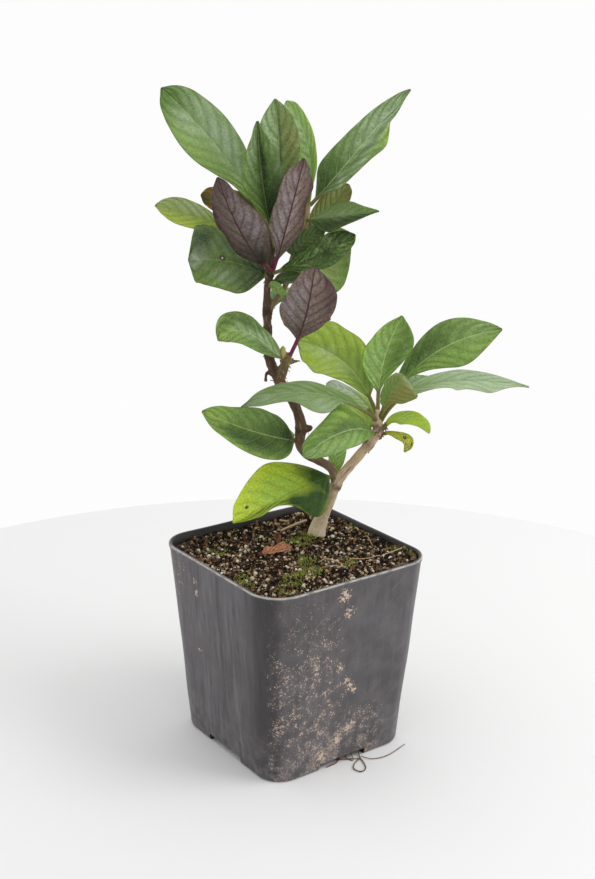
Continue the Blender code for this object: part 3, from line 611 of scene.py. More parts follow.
class HONEYSUCKLE_OT_pot(bpy.types.Operator):
    """Adds the square nursery pot with its lip, foot channel and drain slots"""
    bl_idname = "honeysuckle.add_pot"
    bl_label = "Add pot"

    def execute(self, context):
        loops, points = [], []
        for z, inset in pot_profile():
            loop = pot_loop(z, inset)
            loops.append(loop)
            for x, y in loop:
                swell = 1 + pot_sag(x, y, z) / math.hypot(x, y)
                points.append((x * swell * MM, y * swell * MM, z * MM))
        material = plastic_material(context.scene.honeysuckle_pot_colours)
        piece = linked("pot_shell", mesh_from("pot_shell", points, loft(loops), [material]))
        cutters = list(pot_cutters())
        for each in cutters:
            step = piece.modifiers.new(each.name, "BOOLEAN")
            step.operation = "DIFFERENCE"
            step.solver = "EXACT"
            step.object = each
        mesh = taken(piece)
        for each in cutters:
            bpy.data.objects.remove(each)
        tall = (CHANNEL_DEEP + PAD_SUNK) * MM
        pot = bmesh.new()
        pot.from_mesh(mesh)
        bmesh.ops.create_cone(pot, cap_ends=True, segments=72, radius1=PAD_RADIUS * MM,
                              radius2=PAD_RADIUS * MM, depth=tall,
                              matrix=Matrix.Translation((0, 0, tall / 2)))
        pot.to_mesh(mesh)
        pot.free()
        add_piece("nursery_pot", mesh, "pot_black", ["pot"])
        mesh.set_sharp_from_angle(angle=math.radians(40))
        return {"FINISHED"}


# Soil

SOIL_RINGS = 84
RING_BIAS = 0.8
SOIL_GRAIN = 420.0
SOIL_ROUGH = 0.55
TRUNK_AT = (10.0, 24.0)
# How far strewn pieces keep from the trunk's middle, the wall and each corner's middle
TRUNK_CLEAR = 5.5
WALL_CLEAR = 3.6
MOSS_WALL_CLEAR = 3.2
CORNER_MIDDLE = 28.0
CORNER_CLEAR = 12.6


def soil_mesh():
    """The soil's crumbly top in rings out to the pot's wall, with a short side and a flat base."""
    loop = pot_loop(86.0, WALL + SOIL_GAP)
    count = len(loop)
    shares = [((k + 1) / SOIL_RINGS) ** RING_BIAS for k in range(SOIL_RINGS)]
    points = [(0.0, 0.0, soil_top(0.0, 0.0))]
    for share in shares:
        for x, y in loop * share * MM:
            edge = min(share, 0.985) / share
            high = soil_top(x * edge, y * edge)
            rough = noise.fractal(Vector((x, y, 0.0)) * SOIL_GRAIN, 0.9, 2.2, 4)
            points.append((x, y, high + rough * SOIL_ROUGH * MM - (share > 0.97) * 0.3 * MM))
    top_count = len(points)
    points += [(x * MM, y * MM, (CHANNEL_DEEP + WALL + SOIL_GAP) * MM)
               for x, y in pot_loop(CHANNEL_DEEP + WALL, WALL + SOIL_GAP)]
    faces = [(0, 1 + k, 1 + (k + 1) % count) for k in range(count)]
    for low in range(1, top_count, count):
        for k in range(count):
            after = (k + 1) % count
            faces.append((low + k, low + count + k, low + count + after, low + after))
    faces.append(tuple(range(top_count, top_count + count))[::-1])
    return points, faces, top_count


def soil_material(colours):
    paint = Paint("damp_soil", colours.soil, 0.95, 0.15)
    paint.lay(ramp(cloud(paint.place, 260.0, 6.0), 0.45, 0.8, 0.0, 0.7), colours.soil_light)
    paint.lay(ramp(cloud(paint.place, 1900.0, 3.0), 0.62, 0.74, 0.0, 0.8), colours.chip)
    return paint.finished(cloud(paint.place, 1300.0, 5.0), 0.5)


def grain_material(name, first, second, roughness=0.9, curve=1.0):
    """A scattered grain's material: each grain has its own shade between two colours."""
    paint = Paint(name, first, roughness, 0.12)
    speck = cloud(paint.place, 2200.0, 3.0)
    shade = calc("POWER", attribute(paint.tree, "shade", "Fac"), curve)
    paint.lay(calc("ADD", shade, (speck - 0.5) * 0.7, clamp=True), second)
    return paint.finished(speck, 0.15)


# How much rarer large copies are than small ones, and how fine the lumps on a copy are
SMALL_BIAS = 2.4
LUMP_SCALE = 900.0


def random_value(tree, seed, low=0.0, high=1.0):
    """A draw for each copy between two numbers or two vectors."""
    if isinstance(low, tuple):
        return put(tree, "FunctionNodeRandomValue", {0: low, 1: high, "Seed": seed},
                   data_type="FLOAT_VECTOR")
    return put(tree, "FunctionNodeRandomValue", {2: low, 3: high, "Seed": seed}, 1, data_type="FLOAT")


def scatter_tree(name, add_shape, lean=math.pi, standing=False):
    """A Geometry Nodes group that strews one shape over a surface, by its "open" attribute. A copy leans
    at most lean each way, or stands straight up from the surface."""
    tree = bpy.data.node_groups.new(name, "GeometryNodeTree")
    for label, kind in (("Geometry", "Geometry"), ("Density", "Float"), ("Seed", "Int"),
                        ("Smallest", "Float"), ("Largest", "Float"), ("Roughness", "Float"),
                        ("Material", "Material")):
        tree.interface.new_socket(name=label, in_out="INPUT", socket_type="NodeSocket" + kind)
    tree.interface.new_socket(name="Geometry", in_out="OUTPUT", socket_type="NodeSocketGeometry")
    given = {socket.name: Wire(socket) for socket in tree.nodes.new("NodeGroupInput").outputs}
    room = put(tree, "GeometryNodeInputNamedAttribute", {"Name": "open"}, "Attribute", data_type="FLOAT")
    strewn = put(tree, "GeometryNodeDistributePointsOnFaces",
                 {"Mesh": given["Geometry"], "Density": given["Density"] * room, "Seed": given["Seed"]},
                 distribute_method="RANDOM")
    if standing:
        turn = strewn.of("Rotation")
    else:
        turn = random_value(tree, 1, (-lean, -lean, 0.0), (lean, lean, 2 * math.pi))
    size = put(tree, "ShaderNodeMapRange", {"Value": calc("POWER", random_value(tree, 2), SMALL_BIAS),
                                            "To Min": given["Smallest"], "To Max": given["Largest"]})
    stretch = random_value(tree, 3, (0.7, 0.55, 0.6), (1.2, 1.0, 1.0))
    copies = put(tree, "GeometryNodeInstanceOnPoints",
                 {"Points": strewn, "Instance": add_shape(tree), "Rotation": turn,
                  "Scale": vectors("SCALE", stretch, size)})
    copies = put(tree, "GeometryNodeStoreNamedAttribute",
                 {"Geometry": copies, "Name": "shade", "Value": random_value(tree, 4)}, data_type="FLOAT",
                 domain="INSTANCE")
    real = put(tree, "GeometryNodeRealizeInstances", {"Geometry": copies})
    lumps = put(tree, "ShaderNodeTexNoise", {"Vector": put(tree, "GeometryNodeInputPosition"),
                                             "Scale": LUMP_SCALE, "Detail": 2.0}, "Color")
    push = vectors("SCALE", vectors("SUBTRACT", lumps, (0.5, 0.5, 0.5)), given["Roughness"])
    real = put(tree, "GeometryNodeSetPosition", {"Geometry": real, "Offset": push})
    real = put(tree, "GeometryNodeSetMaterial", {"Geometry": real, "Material": given["Material"]})
    fill(tree, tree.nodes.new("NodeGroupOutput"), {"Geometry": real})
    return tree


def shape_of(kind, inputs):
    """A function that adds one simple shape to a tree."""
    return lambda tree: put(tree, "GeometryNodeMesh" + kind, inputs)


PEBBLE = shape_of("IcoSphere", {"Radius": 0.5, "Subdivisions": 2})
CLOD = shape_of("IcoSphere", {"Radius": 0.5, "Subdivisions": 1})
SPLINTER = shape_of("Cube", {"Size": (2.4, 0.8, 0.35)})
TUFT_BLADE = shape_of("Cone", {"Vertices": 3, "Radius Top": 0.02, "Radius Bottom": 0.16, "Depth": 1.0})
HAIR = shape_of("Cone", {"Vertices": 3, "Radius Top": 0.01, "Radius Bottom": 0.05, "Depth": 1.0})


def flake(tree):
    """A thin strip of bark that curls along its length."""
    strip = put(tree, "GeometryNodeMeshCube", {"Size": (2.6, 0.7, 0.1), "Vertices X": 6})
    x = parts_of(put(tree, "GeometryNodeInputPosition"))[0]
    curl = put(tree, "ShaderNodeCombineXYZ", {"Z": x * x * 0.35})
    return put(tree, "GeometryNodeSetPosition", {"Geometry": strip, "Offset": curl})


def scattered(name, ground, tree, density, seed, smallest, largest, rough, material):
    """The scattered copies alone, as a plain mesh. Their sizes and their roughness are in millimetres,
    and the ground is a mesh with its "open" attribute."""
    values = {"Density": density, "Seed": seed, "Smallest": smallest * MM, "Largest": largest * MM,
              "Roughness": rough * MM, "Material": material}
    base = linked(name, ground)
    step = base.modifiers.new("scatter", "NODES")
    step.node_group = tree
    for item in tree.interface.items_tree:
        if item.in_out == "INPUT" and item.name in values:
            step[item.identifier] = values[item.name]
    return taken(base)


def soil_ground(name, open_at):
    """The soil's top alone, with how open each point is to what is strewn there."""
    points, faces, top_count = soil_mesh()
    mesh = mesh_from(name, points[:top_count], [f for f in faces if max(f) < top_count])
    store(mesh, "open", "FLOAT", [open_at(x / MM, y / MM) for x, y, _ in points[:top_count]])
    return mesh


def inside_soil(x, y):
    """1 on open soil, 0 beside the trunk and against the pot's wall."""
    right, away = plant_place(x, y)
    trunk_far = math.hypot(right - TRUNK_AT[0], away - TRUNK_AT[1])
    wall_far = POT_TOP / 2 - max(abs(x), abs(y))
    corner = math.hypot(max(abs(x) - CORNER_MIDDLE, 0.0), max(abs(y) - CORNER_MIDDLE, 0.0))
    return float(trunk_far > TRUNK_CLEAR and wall_far > WALL_CLEAR and corner < CORNER_CLEAR)


def plant_place(x, y):
    """Right and away in the plant's frame of a place in the pot's frame."""
    return (x * math.cos(PLANT_TURN) + y * math.sin(PLANT_TURN),
            y * math.cos(PLANT_TURN) - x * math.sin(PLANT_TURN))


class HONEYSUCKLE_OT_soil(bpy.types.Operator):
    """Adds the soil's surface with its crumbs, perlite and bits of bark"""
    bl_idname = "honeysuckle.add_soil"
    bl_label = "Add soil"

    def execute(self, context):
        sizes = context.scene.honeysuckle_sizes
        colours = context.scene.honeysuckle_pot_colours
        points, faces, _ = soil_mesh()
        mesh = mesh_from("soil_body", points, faces, [soil_material(colours)])
        add_piece("soil_body", mesh, "soil_brown", ["soil"])
        ground = soil_ground("soil_ground", inside_soil)
        kinds = (
            # Most crumbs take the near-black soil colour: damp soil, partly painted shade between the crumbs
            ("soil_crumbs", CLOD, sizes.crumbs, 0.5, 2.3, 0.45,
             grain_material("crumb", colours.soil, colours.soil_light, 0.95, 5.0)),
            ("perlite_grains", PEBBLE, sizes.perlite, 0.45, 2.4, 0.6,
             grain_material("perlite", colours.perlite, colours.perlite_stain, 0.8)),
            ("bark_bits", SPLINTER, sizes.chips, 0.35, 1.9, 0.3,
             grain_material("bark_bit", colours.chip, colours.chip_dark, 0.85)),
        )
        for k, (name, shape, density, *rest) in enumerate(kinds):
            mesh = scattered(name, ground.copy(), scatter_tree(name, shape), density, sizes.seed + k, *rest)
            add_piece(name, mesh, "soil_brown", smooth=False)
        return {"FINISHED"}


# Moss: right, away, reach and how thick, on the soil
MOSS_PATCHES = [(2.5, 15.0, 7.0, 1.0), (7.0, 20.0, 5.0, 0.9), (2.1, -22.4, 8.0, 1.0), (-1.7, -32.3, 6.0, 0.9),
                (7.7, -17.8, 7.0, 0.8), (-21.6, -29.5, 6.5, 1.0), (53.5, 1.8, 7.0, 1.0),
                (46.0, 4.0, 5.0, 0.6), (29.7, 29.9, 7.0, 0.55), (-33.9, 5.6, 6.0, 0.6),
                (4.7, -6.0, 6.0, 0.8), (-2.5, -42.7, 5.0, 0.7), (24.0, -10.0, 6.0, 0.4)]


def moss_cover(x, y):
    """How thick the moss is at a place in the pot's frame, from 0 to 1."""
    right, away = plant_place(x, y)
    most = max(thick * max(0.0, 1.0 - math.hypot(right - u, away - v) / reach)
               for u, v, reach, thick in MOSS_PATCHES)
    clumps = noise.noise(Vector((x, y, 3.0)) * 0.45) + 0.35
    wall_far = POT_TOP / 2 - max(abs(x), abs(y))
    return max(0.0, min(1.0, most * 2.0)) * max(0.0, min(1.0, clumps * 2.2)) * (wall_far > MOSS_WALL_CLEAR)


def moss_material(colours):
    paint = Paint("moss", colours.moss, 0.9)
    patch = ramp(cloud(paint.place, 300.0, 3.0), 0.35, 0.7)
    paint.lay(attribute(paint.tree, "shade", "Fac") * 0.5 + patch * 0.5, colours.moss_dark)
    return paint.finished()


class HONEYSUCKLE_OT_moss(bpy.types.Operator):
    """Adds moss on the soil, round the trunk's foot and in the corners"""
    bl_idname = "honeysuckle.add_moss"
    bl_label = "Add moss"

    def execute(self, context):
        sizes = context.scene.honeysuckle_sizes
        mesh = scattered("moss", soil_ground("moss_ground", moss_cover),
                         scatter_tree("moss", TUFT_BLADE, lean=0.75), sizes.moss, sizes.seed, 0.6, 2.4, 0.1,
                         moss_material(context.scene.honeysuckle_wood_colours))
        add_piece("moss", mesh, "leaf_green", smooth=False)
        return {"FINISHED"}


# Woody stem: rows of right, away, up and radius in the plant's frame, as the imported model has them

TRUNK = [
    (10, 24, 62, 4.4), (10, 24, 78, 4.4), (10, 24, 87, 4.1), (12, 24, 94, 3.4), (16, 24, 104, 2.8),
    (19.5, 24, 113, 2.6), (25, 24, 120.5, 2.4), (31, 24, 128, 2.3), (35, 24, 133, 2.2),
    (37.5, 24, 138, 2.5), (37, 24, 143, 1.6), (37, 24, 147, 1.2),
]
LEADER = [
    (19, 24, 110, 2.0), (16.5, 24, 119, 2.1), (10.5, 24, 123, 2.2), (5, 24, 126, 2.3),
    (2, 24, 131, 2.4), (2.5, 24, 138, 2.7), (1.5, 24, 144, 2.4), (-1, 24, 150, 2.4),
    (-5, 24, 156.5, 2.4), (-9, 24, 163, 2.4), (-11.5, 24, 169, 2.3), (-12.3, 24, 175, 1.9),
    (-12.8, 24, 185, 1.8), (-13, 24, 192, 2.1), (-13, 24, 199, 1.6), (-12, 24, 209, 1.9),
    (-11, 25, 218, 1.5), (-11, 26, 226, 1.5), (-11, 27, 232, 1.0),
]
SIDE_LEADER = [
    (-13, 24, 190, 1.4), (-9, 24, 197, 1.4), (-5, 25, 203, 1.3), (-3, 26, 210, 1.4),
    (-1, 27, 218, 1.5), (2, 28, 226, 1.4), (4, 29, 233, 1.5), (5, 30, 238, 0.9),
]
KNUCKLE = [(-8, 23, 158, 2.0), (-6.5, 22, 163, 2.3), (-4.8, 21, 169, 2.2), (-3.4, 20.5, 172, 1.6),
           (-3, 20, 174, 0.9)]
KNUCKLE_BUD = [(-5, 21, 170, 1.2), (-6, 20.5, 174.5, 1.5), (-5.8, 20, 177, 0.7)]
KNUCKLE_SPUR = [(-4, 20.5, 169, 1.2), (-1, 20, 170, 0.8), (2, 19.5, 170.3, 0.4)]
DEAD_TWIG = [(-9, 24, 162, 1.0), (-13, 23, 164, 0.8), (-13.5, 22.5, 160, 0.8)]
ROSETTE_BUD = [(37, 24, 138, 1.5), (39.5, 23.5, 139, 1.3), (41, 23, 139.5, 1.1)]
OLD_SCAR = [(3, 24, 137.5, 1.8), (6, 23, 138.5, 1.6), (7.2, 22.5, 139.5, 1.1)]

# Each stem with how dark and how green it is at its foot and at its end, from 0 to 1
STEMS = [
    (TRUNK, (0.0, 0.0), (0.0, 0.0)), (LEADER, (0.7, 1.0), (0.0, 0.0)),
    (SIDE_LEADER, (0.8, 0.7), (0.0, 0.3)), (KNUCKLE, (1.0, 1.0), (0.0, 0.35)),
    (KNUCKLE_BUD, (0.4, 0.2), (0.3, 1.0)), (KNUCKLE_SPUR, (0.7, 1.0), (0.2, 0.0)),
    (DEAD_TWIG, (0.9, 1.0), (0.0, 0.0)), (ROSETTE_BUD, (0.5, 1.0), (0.1, 0.0)),
    (OLD_SCAR, (0.8, 1.0), (0.0, 0.0)),
]
# Rings where leaves grew, each as right, away and up
STEM_RINGS = [(19, 24, 111), (37.4, 24, 138.5), (33, 24, 130.5), (2.2, 24, 137), (-5, 24, 156),
              (-12.1, 24, 172), (-12.7, 24, 183), (-13, 24, 191.5), (-12.1, 24, 208.5),
              (-11, 25.5, 222), (-3, 26, 210), (1.6, 28, 225)]

# Where the bark peels in curls: right, away, up, reach and how much
PEELING = [(-6, 22, 164, 6, 2.0), (-5, 21, 172, 5, 1.4), (2.2, 24, 137, 4, 0.5), (-5, 24, 156, 4, 0.6),
           (33, 24, 130.5, 4, 0.5), (38.5, 24, 139, 4.5, 2.5), (19, 24, 111, 5, 0.2), (-12, 24, 172, 5, 0.4),
           (-13, 24, 191, 4, 0.4), (-12, 24, 208, 4, 0.4), (-11, 25.5, 222, 5, 0.4)]


def stem_lines():
    """Each short piece of the stems: start, end, radius, place along, darkness and green."""
    rows = []
    for path, dark, green in STEMS:
        line = smooth_path(path, 1.0)
        share = np.linspace(0, 1, len(line))
        long = np.concatenate([[0], np.cumsum(np.linalg.norm(np.diff(line[:, :3], axis=0), axis=1))])
        for k in range(len(line) - 1):
            rows.append((*line[k, :3], *line[k + 1, :3], line[k, 3], long[k],
                         dark[0] + (dark[1] - dark[0]) * min(1.0, share[k] * 3.0),
                         green[0] + (green[1] - green[0]) * share[k]))
    return np.array(rows)


# The leaf rings' and the foot's swelling, and how high moss climbs the foot, in millimetres
RING_INSIDE = 2.0
RING_HALF = 0.9
RING_REACH = 5.0
RING_OUT = 0.3
FOOT_TOP = 94.0
FOOT_TALL = 9.0
FOOT_OUT = 0.5
MOSS_TOP = 91.0
MOSS_TALL = 8.0
# How many points are laid along the stems at once
BLOCK = 4000


def bark_shape(points):
    """For points on the wood, in the plant's frame: place round and along the stem, and its tones."""
    lines = stem_lines()
    starts, ends = lines[:, 0:3], lines[:, 3:6]
    steps = ends - starts
    square = (steps ** 2).sum(1)
    grain = np.empty((len(points), 3))
    tones = np.empty((len(points), 2))
    outward = np.empty((len(points), 3))
    for first in range(0, len(points), BLOCK):
        span = slice(first, first + BLOCK)
        block = points[span]
        offset = block[:, None] - starts[None]
        t = np.clip((offset * steps[None]).sum(2) / square[None], 0, 1)
        away = offset - t[..., None] * steps[None]
        far = np.linalg.norm(away, axis=2) - lines[None, :, 6]
        best = far.argmin(1)
        pick = np.arange(len(block))
        out = away[pick, best]
        out /= np.maximum(np.linalg.norm(out, axis=1, keepdims=True), 1e-6)
        along = steps[best] / np.sqrt(square[best])[:, None]
        level = np.cross(along, (0.0, 1.0, 0.0))
        level /= np.linalg.norm(level, axis=1, keepdims=True)
        third = np.cross(along, level)
        radius = lines[best, 6]
        grain[span, 0] = (out * level).sum(1) * radius
        grain[span, 1] = (out * third).sum(1) * radius
        grain[span, 2] = lines[best, 7] + t[pick, best] * np.sqrt(square[best]) + best // 40 * 7
        tones[span] = lines[best, 8:10]
        outward[span] = out
    return grain, tones, outward


def bark_height(place, dark):
    """How far the bark stands out, in millimetres, at a place round and along the stem."""
    x, y, along = place
    strips = noise.noise(Vector((x * 1.5, y * 1.5, along * 0.09)))
    fine = noise.noise(Vector((x * 3.4, y * 3.4, along * 0.22 + 9.0)))
    lumps = noise.noise(Vector((x * 0.4, y * 0.4, along * 0.3 + 5.0)))
    edge = 1.0 - min(1.0, abs(strips) * 5.0)
    return 0.16 * strips + 0.1 * fine + 0.22 * lumps - (0.16 + 0.06 * dark) * edge


def bark_material(colours):
    """Peeling bark: strips and cracks along the stem, dark on the leader and green at the knuckle."""
    paint = Paint("bark", colours.bark, 0.85)
    grain = vectors("SCALE", attribute(paint.tree, "grain", "Vector"), 1 / MM)
    tone = attribute(paint.tree, "tone", "Color")
    dark, green, mossy = channels_of(tone)
    long = cloud(stretched(grain, 1.1, 1.1, 0.07), 1.6, 5.0, 0.6)
    thin = cloud(stretched(grain, 2.6, 2.6, 0.12), 2.2, 4.0, 0.65)
    blotch = cloud(grain, 0.3)
    paint.base = colours.bark_red
    paint.lay(ramp(long, 0.4, 0.58), colours.bark)
    paint.lay(ramp(thin, 0.5, 0.61, 0.0, 0.95), colours.bark_light)
    paint.lay(ramp(blotch, 0.5, 0.72, 0.0, 0.5), colours.bark_red)
    shaded = mixed(ramp(long, 0.55, 0.7, 0.0, 0.7), colours.bark_dark, colours.bark_red)
    paint.lay(dark, mixed(ramp(thin, 0.6, 0.7, 0.0, 0.75), shaded, colours.bark))
    paint.lay(ramp(long, 0.3, 0.4, 0.75, 0.0), colours.crack)
    # Lighter bark low on the trunk: partly its paler foot, partly painted light where the leaves shade it
    foot = ramp(parts_of(paint.place)[2], 0.088, 0.108, 0.75, 0.0)
    paint.lay(foot * ramp(thin, 0.35, 0.55, 0.4, 1.0), colours.bark_light)
    paint.lay(green, mixed(ramp(long, 0.4, 0.7, 0.0, 0.6), colours.soft_wood, colours.bark_red))
    paint.lay(mossy * ramp(thin, 0.4, 0.6, 0.2, 1.0), colours.moss)
    paint.lay(tone.of("Alpha") * ramp(blotch, 0.35, 0.6, 0.2, 0.9), colours.crack)
    return paint.finished(long * 0.6 + thin * 0.5)


class HONEYSUCKLE_OT_stem(bpy.types.Operator):
    """Adds the trunk, its two leaders and their stubs as one piece of wood with peeling bark"""
    bl_idname = "honeysuckle.add_stem"
    bl_label = "Add stem"

    def execute(self, context):
        sizes = context.scene.honeysuckle_sizes
        colours = context.scene.honeysuckle_wood_colours
        mesh = joined_mesh("wood", [tube_mesh(f"stem_{k}", rows) for k, (rows, _, _) in enumerate(STEMS)])
        mesh = with_modifier(mesh, "REMESH", mode="VOXEL", voxel_size=sizes.bark_cell)
        mesh = with_modifier(mesh, "SMOOTH", factor=0.5, iterations=5)
        points = np.empty(len(mesh.vertices) * 3)
        mesh.vertices.foreach_get("co", points)
        x, y, z = points.reshape(-1, 3).T
        local = np.stack([*plant_place(x, y), z], 1) / MM
        grain, tones, outward = bark_shape(local)

        def far_from(place):
            return np.linalg.norm(local - np.array(place, float), axis=1)

        rings, peel = np.zeros(len(local)), np.zeros(len(local))
        for ring in STEM_RINGS:
            far = far_from(ring)
            past = np.maximum(far - RING_INSIDE, 0.0)
            rings = np.maximum(rings, np.exp(-(past / RING_HALF) ** 2) * (far < RING_REACH))
        foot = np.clip((FOOT_TOP - local[:, 2]) / FOOT_TALL, 0, 1)
        heights = np.array([bark_height(g, t[0]) for g, t in zip(grain, tones)])
        heights = heights + RING_OUT * rings + FOOT_OUT * foot ** 2
        mesh.vertices.foreach_set("co", turned(local + outward * heights[:, None]).ravel())
        mossy = (np.clip((MOSS_TOP - local[:, 2]) / MOSS_TALL, 0, 1)
                 * np.clip(0.1 - outward[:, 0], 0, 1))
        store(mesh, "grain", "FLOAT_VECTOR", grain * MM)
        store(mesh, "tone", "FLOAT_COLOR", np.stack([tones[:, 0], tones[:, 1], mossy, rings * 0.95], 1))
        mesh.materials.clear()
        mesh.materials.append(bark_material(colours))
        add_piece("wood", mesh, "bark", ["woody_stem"])
        for *middle, reach, amount in PEELING:
            peel = np.maximum(peel, amount * (far_from(middle) < reach))
        ground = mesh.copy()
        store(ground, "open", "FLOAT", peel)
        flakes = scattered("bark_flakes", ground, scatter_tree("bark_flakes", flake), sizes.flakes,
                           sizes.seed, 0.5, 1.5, 0.15,
                           grain_material("bark_flake", colours.bark_dark, colours.bark_red))
        add_piece("bark_flakes", flakes, "bark", smooth=False)
        return {"FINISHED"}


# Leaves: how one looks. main, pale, deep and warm are its four tones, vein its veins and stalk its stalk

# panels is how much painted shade darkens the creases beside the side veins
def look(main, pale, deep, warm, vein="vein", stalk="olive", veins=0.35, net=0.12, rough=0.5,
         mottle=0.5, panels=0.45):
    return dict(main=main, pale=pale, deep=deep, warm=warm, vein=vein, stalk=stalk, veins=veins, net=net,
                rough=rough, mottle=mottle, panels=panels)


LOOKS = {
    "sage": look("sage", "frost", "tip_green", "fresh_green", veins=0.3, panels=0.4),
    "green": look("green", "frost", "deep_green", "fresh_green", veins=0.2),
    "grey": look("sage", "frost", "deep_green", "olive", veins=0.2),
    "striped": look("green", "frost", "deep_green", "fresh_green", veins=0.35, net=0.05, panels=0.6),
    "lime": look("lime", "frost", "green", "yellow", veins=0.5, net=0.06, panels=0.1),
    "soft_lime": look("lime", "vein", "dark_green", "yellow", veins=0.25),
    "dark": look("dark_green", "frost", "black_green", "fresh_green", veins=0.3, rough=0.38),
    # Its pale tone paints the glossy highlights
    "blistered": look("dark_green", "sage", "black_green", "purple_dark", vein="black_green", veins=0.2,
                      net=0.35, rough=0.24, mottle=1.2, panels=0.35),
    "ribbed": look("green", "sage", "deep_green", "fresh_green", veins=0.32, net=0.08, panels=0.4),
    "yellow": look("yellow", "lime", "deep_green", "fresh_green", vein="dark_green", veins=0.3, panels=0.15),
    # Bloom with painted sheen from the sky over the whole leaf
    "frost": look("frost", "glare", "sage", "vein", vein="sage", veins=0.45, net=0.05, rough=0.55),
    "frosted_sage": look("sage", "frost", "green", "vein", veins=0.35),
    # A painted glare highlight over the whole leaf
    "glare": look("frost", "glare", "sage", "fresh_green", veins=0.1),
    "olive": look("olive", "vein", "green", "bronze", veins=0.15),
    "bronze": look("bronze", "tan", "deep_green", "spot", vein="tan", veins=0.2),
    "tan": look("tan", "vein", "bronze", "olive", vein="tan", veins=0.2),
    "curled": look("yellow", "vein", "bronze", "olive", veins=0.3, mottle=0.8),
    "pale_under": look("pale_under", "frost", "green", "pink", veins=0.5, net=0.2, rough=0.6),
    "lime_under": look("pale_under", "lime", "green", "yellow", veins=0.5, net=0.2, rough=0.6),
    "purple_under": look("purple", "purple_bloom_and_sheen", "black_green", "purple_dark", vein="purple_dark",
                         stalk="plum", veins=0.7, net=0.25, rough=0.6, mottle=0.7),
    "rust": look("rust", "tan", "rust_dark", "spot", vein="rust_dark", stalk="rust_dark", veins=0.4,
                 net=0.3, rough=0.8, mottle=0.9),
}


# Where along the blade its half-breadths are given
STATIONS = (0.06, 0.16, 0.3, 0.45, 0.6, 0.75, 0.87, 0.95)


def leaf(name, path, face, left, right=None, stalk=0.12, fold=10.0, wave=0.5, nicks=(), upper="green",
         under="pale_under", shade=1.0, **tints):
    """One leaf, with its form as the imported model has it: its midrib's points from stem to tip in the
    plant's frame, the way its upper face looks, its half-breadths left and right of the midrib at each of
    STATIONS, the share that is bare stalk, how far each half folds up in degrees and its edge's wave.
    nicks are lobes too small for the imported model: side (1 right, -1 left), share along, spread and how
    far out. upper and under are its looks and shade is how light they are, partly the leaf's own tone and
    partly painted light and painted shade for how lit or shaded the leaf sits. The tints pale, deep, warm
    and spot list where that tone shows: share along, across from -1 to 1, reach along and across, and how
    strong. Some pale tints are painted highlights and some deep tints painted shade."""
    right = right or left
    return dict(name=name, path=path, face=face, left=left, right=right, stalk=stalk, fold=fold,
                wave=wave, nicks=nicks, upper=upper, under=under, shade=shade, tints=tints,
                half=max(*left, *right))


